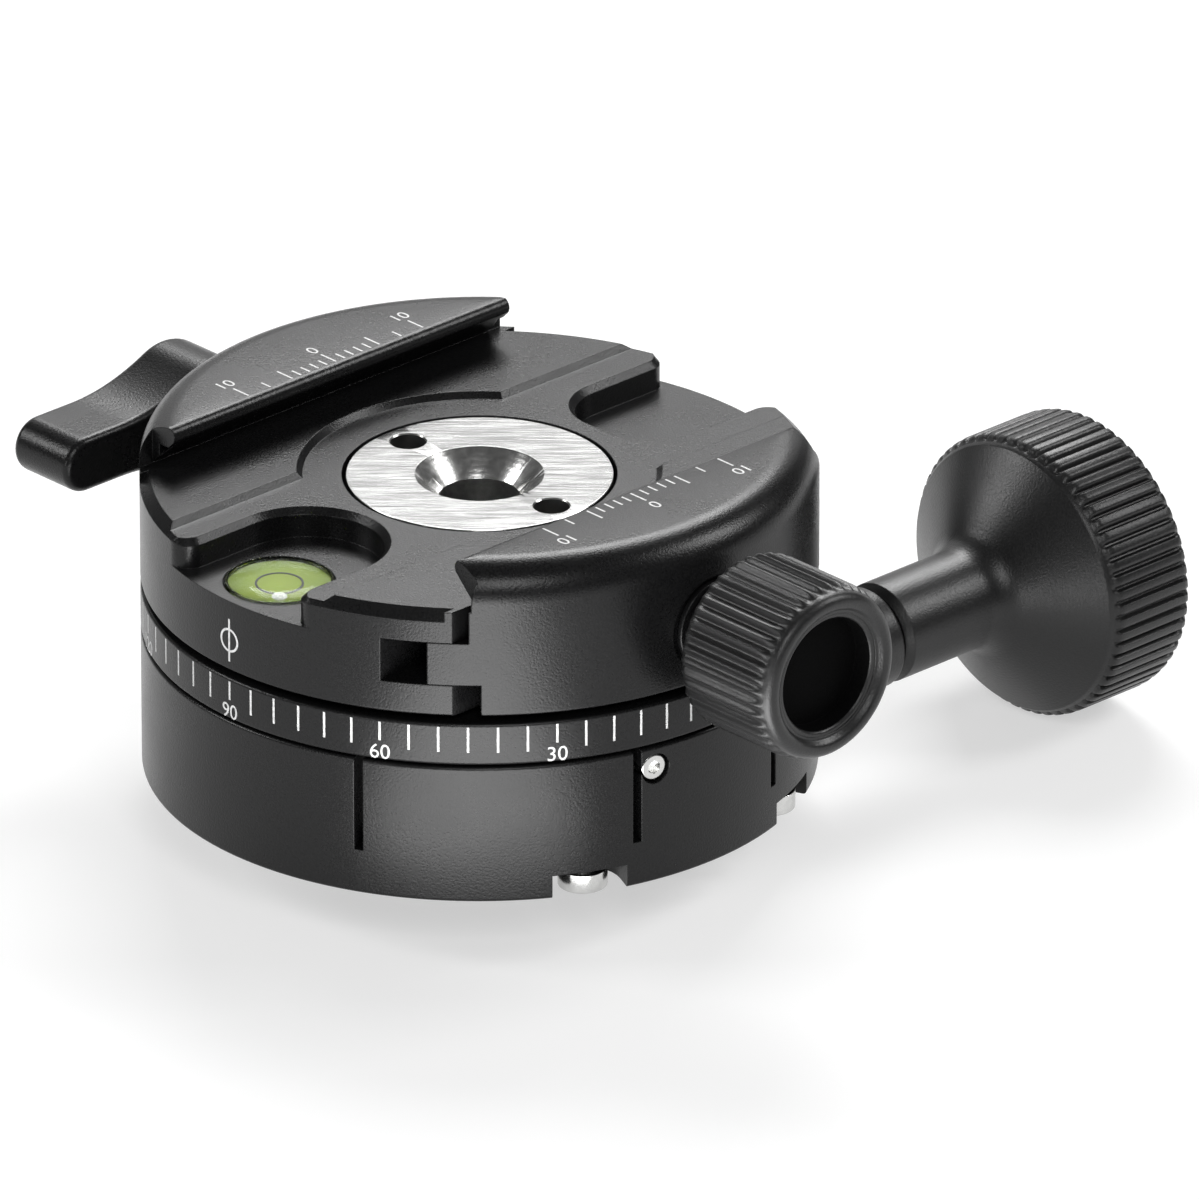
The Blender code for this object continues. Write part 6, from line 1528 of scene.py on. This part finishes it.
stations = [
    (CLAMP_BACK, 6.8 * MM, 0.0),
    (32.2 * MM, 7.15 * MM, 0.05 * MM),
    (32.45 * MM, 7.5 * MM, 0.25 * MM),
    (32.8 * MM, 7.66 * MM, 0.42 * MM),
    (33.2 * MM, CLAMP_RADIUS, CLAMP_FLUTE_DEPTH),
    (37.0 * MM, CLAMP_RADIUS, CLAMP_FLUTE_DEPTH),
    (40.6 * MM, CLAMP_RADIUS, CLAMP_FLUTE_DEPTH),
    (41.2 * MM, 7.66 * MM, 0.40 * MM),
    (41.6 * MM, 7.5 * MM, 0.22 * MM),
    (41.85 * MM, 7.34 * MM, 0.06 * MM),
    (42.0 * MM, 7.28 * MM, 0.0),
]
caps = (rear, rim)
small_knob = fluted("small_knob", CLAMP_FLUTES, stations, rolled_groove, 10, clamp_line, caps)
along_clamp = ((0, 0, CLAMP_HEIGHT), (math.pi / 2, 0, 0))
clamp_black = anodised("clamp_black", roughness=0.38, sheen=0.5, lathe=along_clamp)
dressed(small_knob, clamp_black, "black_anodised", "clamp", "clamp_knob")
# Faces in the knob's dished end get a darker, nearly unreflecting black: painted shade in the dish.
bore_black = anodised("bore_black", shade=0.002, roughness=0.7, sheen=0.04)
small_knob.data.materials.append(bore_black)
for face in small_knob.data.polygons:
    spot = clamp_line.inverted() @ face.center
    in_painted_dish = math.hypot(spot.x, spot.y) < 5.0 * MM and spot.z > 40 * MM
    face.material_index = 1 if in_painted_dish else 0
bore, edge, low, high = CLAMP_WASHER
washer_profile = eased(
    (bore, low, 0),
    (edge, low, 0.1 * MM),
    (edge, high, 0.1 * MM),
    (bore, high, 0),
)
washer = turned("knob_washer", washer_profile, 64, clamp_line)
dressed(washer, blasted_black, None, "jaw", "clamp_washer")


# Lock lever
# Forged and blasted aluminium, anodised black: a round hub that draws in to a thumb paddle. A
# socket screw in the hub's end clamps it on the lock screw.

LEVER_START = 32.8 * MM
LEVER_END = 39.8 * MM
LEVER_HUB = 4.9 * MM
LEVER_REACH = 16.95 * MM
LEVER_HALF = 2.45 * MM
LEVER_BLEND_START = 2.0 * MM
LEVER_BLEND_END = 10.5 * MM
LEVER_BLEND_STEPS = 16
LEVER_ROUNDING = 0.7 * MM
ROUNDING_STEPS = 6
NECK = (4.0 * MM, 28.8 * MM, 33.4 * MM)
LEVER_BORE = (2.5 * MM, 26.8 * MM, 37.1 * MM)
LEVER_HEAD_BORE = (2.8 * MM, 38.2 * MM, 42 * MM)
LEVER_SHANK_BORE = (1.3 * MM, 32.8 * MM, 39.8 * MM)
LEVER_SCREW = (2.6 * MM, 1.2 * MM, 6.5 * MM)
LEVER_SCREW_OUT = 39.6 * MM

start_angle = math.degrees(math.acos(-LEVER_BLEND_START / LEVER_HUB))
hub_arc = arc((0, 0), LEVER_HUB, -start_angle, start_angle, 40)
hub_edge = LEVER_HUB * math.sin(math.radians(start_angle))
top_edge = []
for step in range(1, LEVER_BLEND_STEPS + 1):
    share = step / LEVER_BLEND_STEPS
    ease = share * (2 - share)
    across = -LEVER_BLEND_START - (LEVER_BLEND_END - LEVER_BLEND_START) * share
    top_edge.append((across, hub_edge + (LEVER_HALF - hub_edge) * ease))
tip_arc = arc((LEVER_HALF - LEVER_REACH, 0), LEVER_HALF, 90, 270, 20)
lever_edge = hub_arc + top_edge + tip_arc + [(x, -z) for x, z in reversed(top_edge)]


def drawn_in(outline, distance):
    """A closed outline moved inwards by a distance, point by point."""
    moved = []
    for index, here in enumerate(outline):
        ahead = Vector(outline[(index + 1) % len(outline)]) - Vector(outline[index - 1])
        ahead.normalize()
        moved.append((here[0] - ahead.y * distance, here[1] + ahead.x * distance))
    return moved


shape = bmesh.new()
rings = []
steps = range(ROUNDING_STEPS + 1)
rows = [(LEVER_START, 1, step) for step in steps] + [(LEVER_END, -1, step) for step in steps[::-1]]
for edge, way, step in rows:
    angle = math.pi / 2 * step / ROUNDING_STEPS
    station = edge + way * LEVER_ROUNDING * (1 - math.cos(angle))
    ring = drawn_in(lever_edge, LEVER_ROUNDING * (1 - math.sin(angle)))
    rings.append([shape.verts.new((x, station, z + LEVER_HEIGHT)) for x, z in ring])
stacked(shape, rings)
lever = finished("thumb_lever", shape, 45)
neck = drill("lever_neck", *NECK, lever_line)
machined(lever, [neck], "UNION")
lever_tools = [
    drill("lever_bore", *LEVER_BORE, lever_line, 48),
    drill("lever_head_bore", *LEVER_HEAD_BORE, lever_line, 48),
    drill("lever_shank_bore", *LEVER_SHANK_BORE, lever_line, 32),
]
machined(lever, lever_tools)
evened(lever)
dressed(lever, blasted_black, "black_anodised", "lever", "lock_lever")
stand = lever_line @ laid("-Z", (0, 0, LEVER_SCREW_OUT))
screw = socket_screw("lever_screw_fine", *LEVER_SCREW, stand)
dressed(screw, screw_steel, "bright_steel", "lever", "lever_screw")
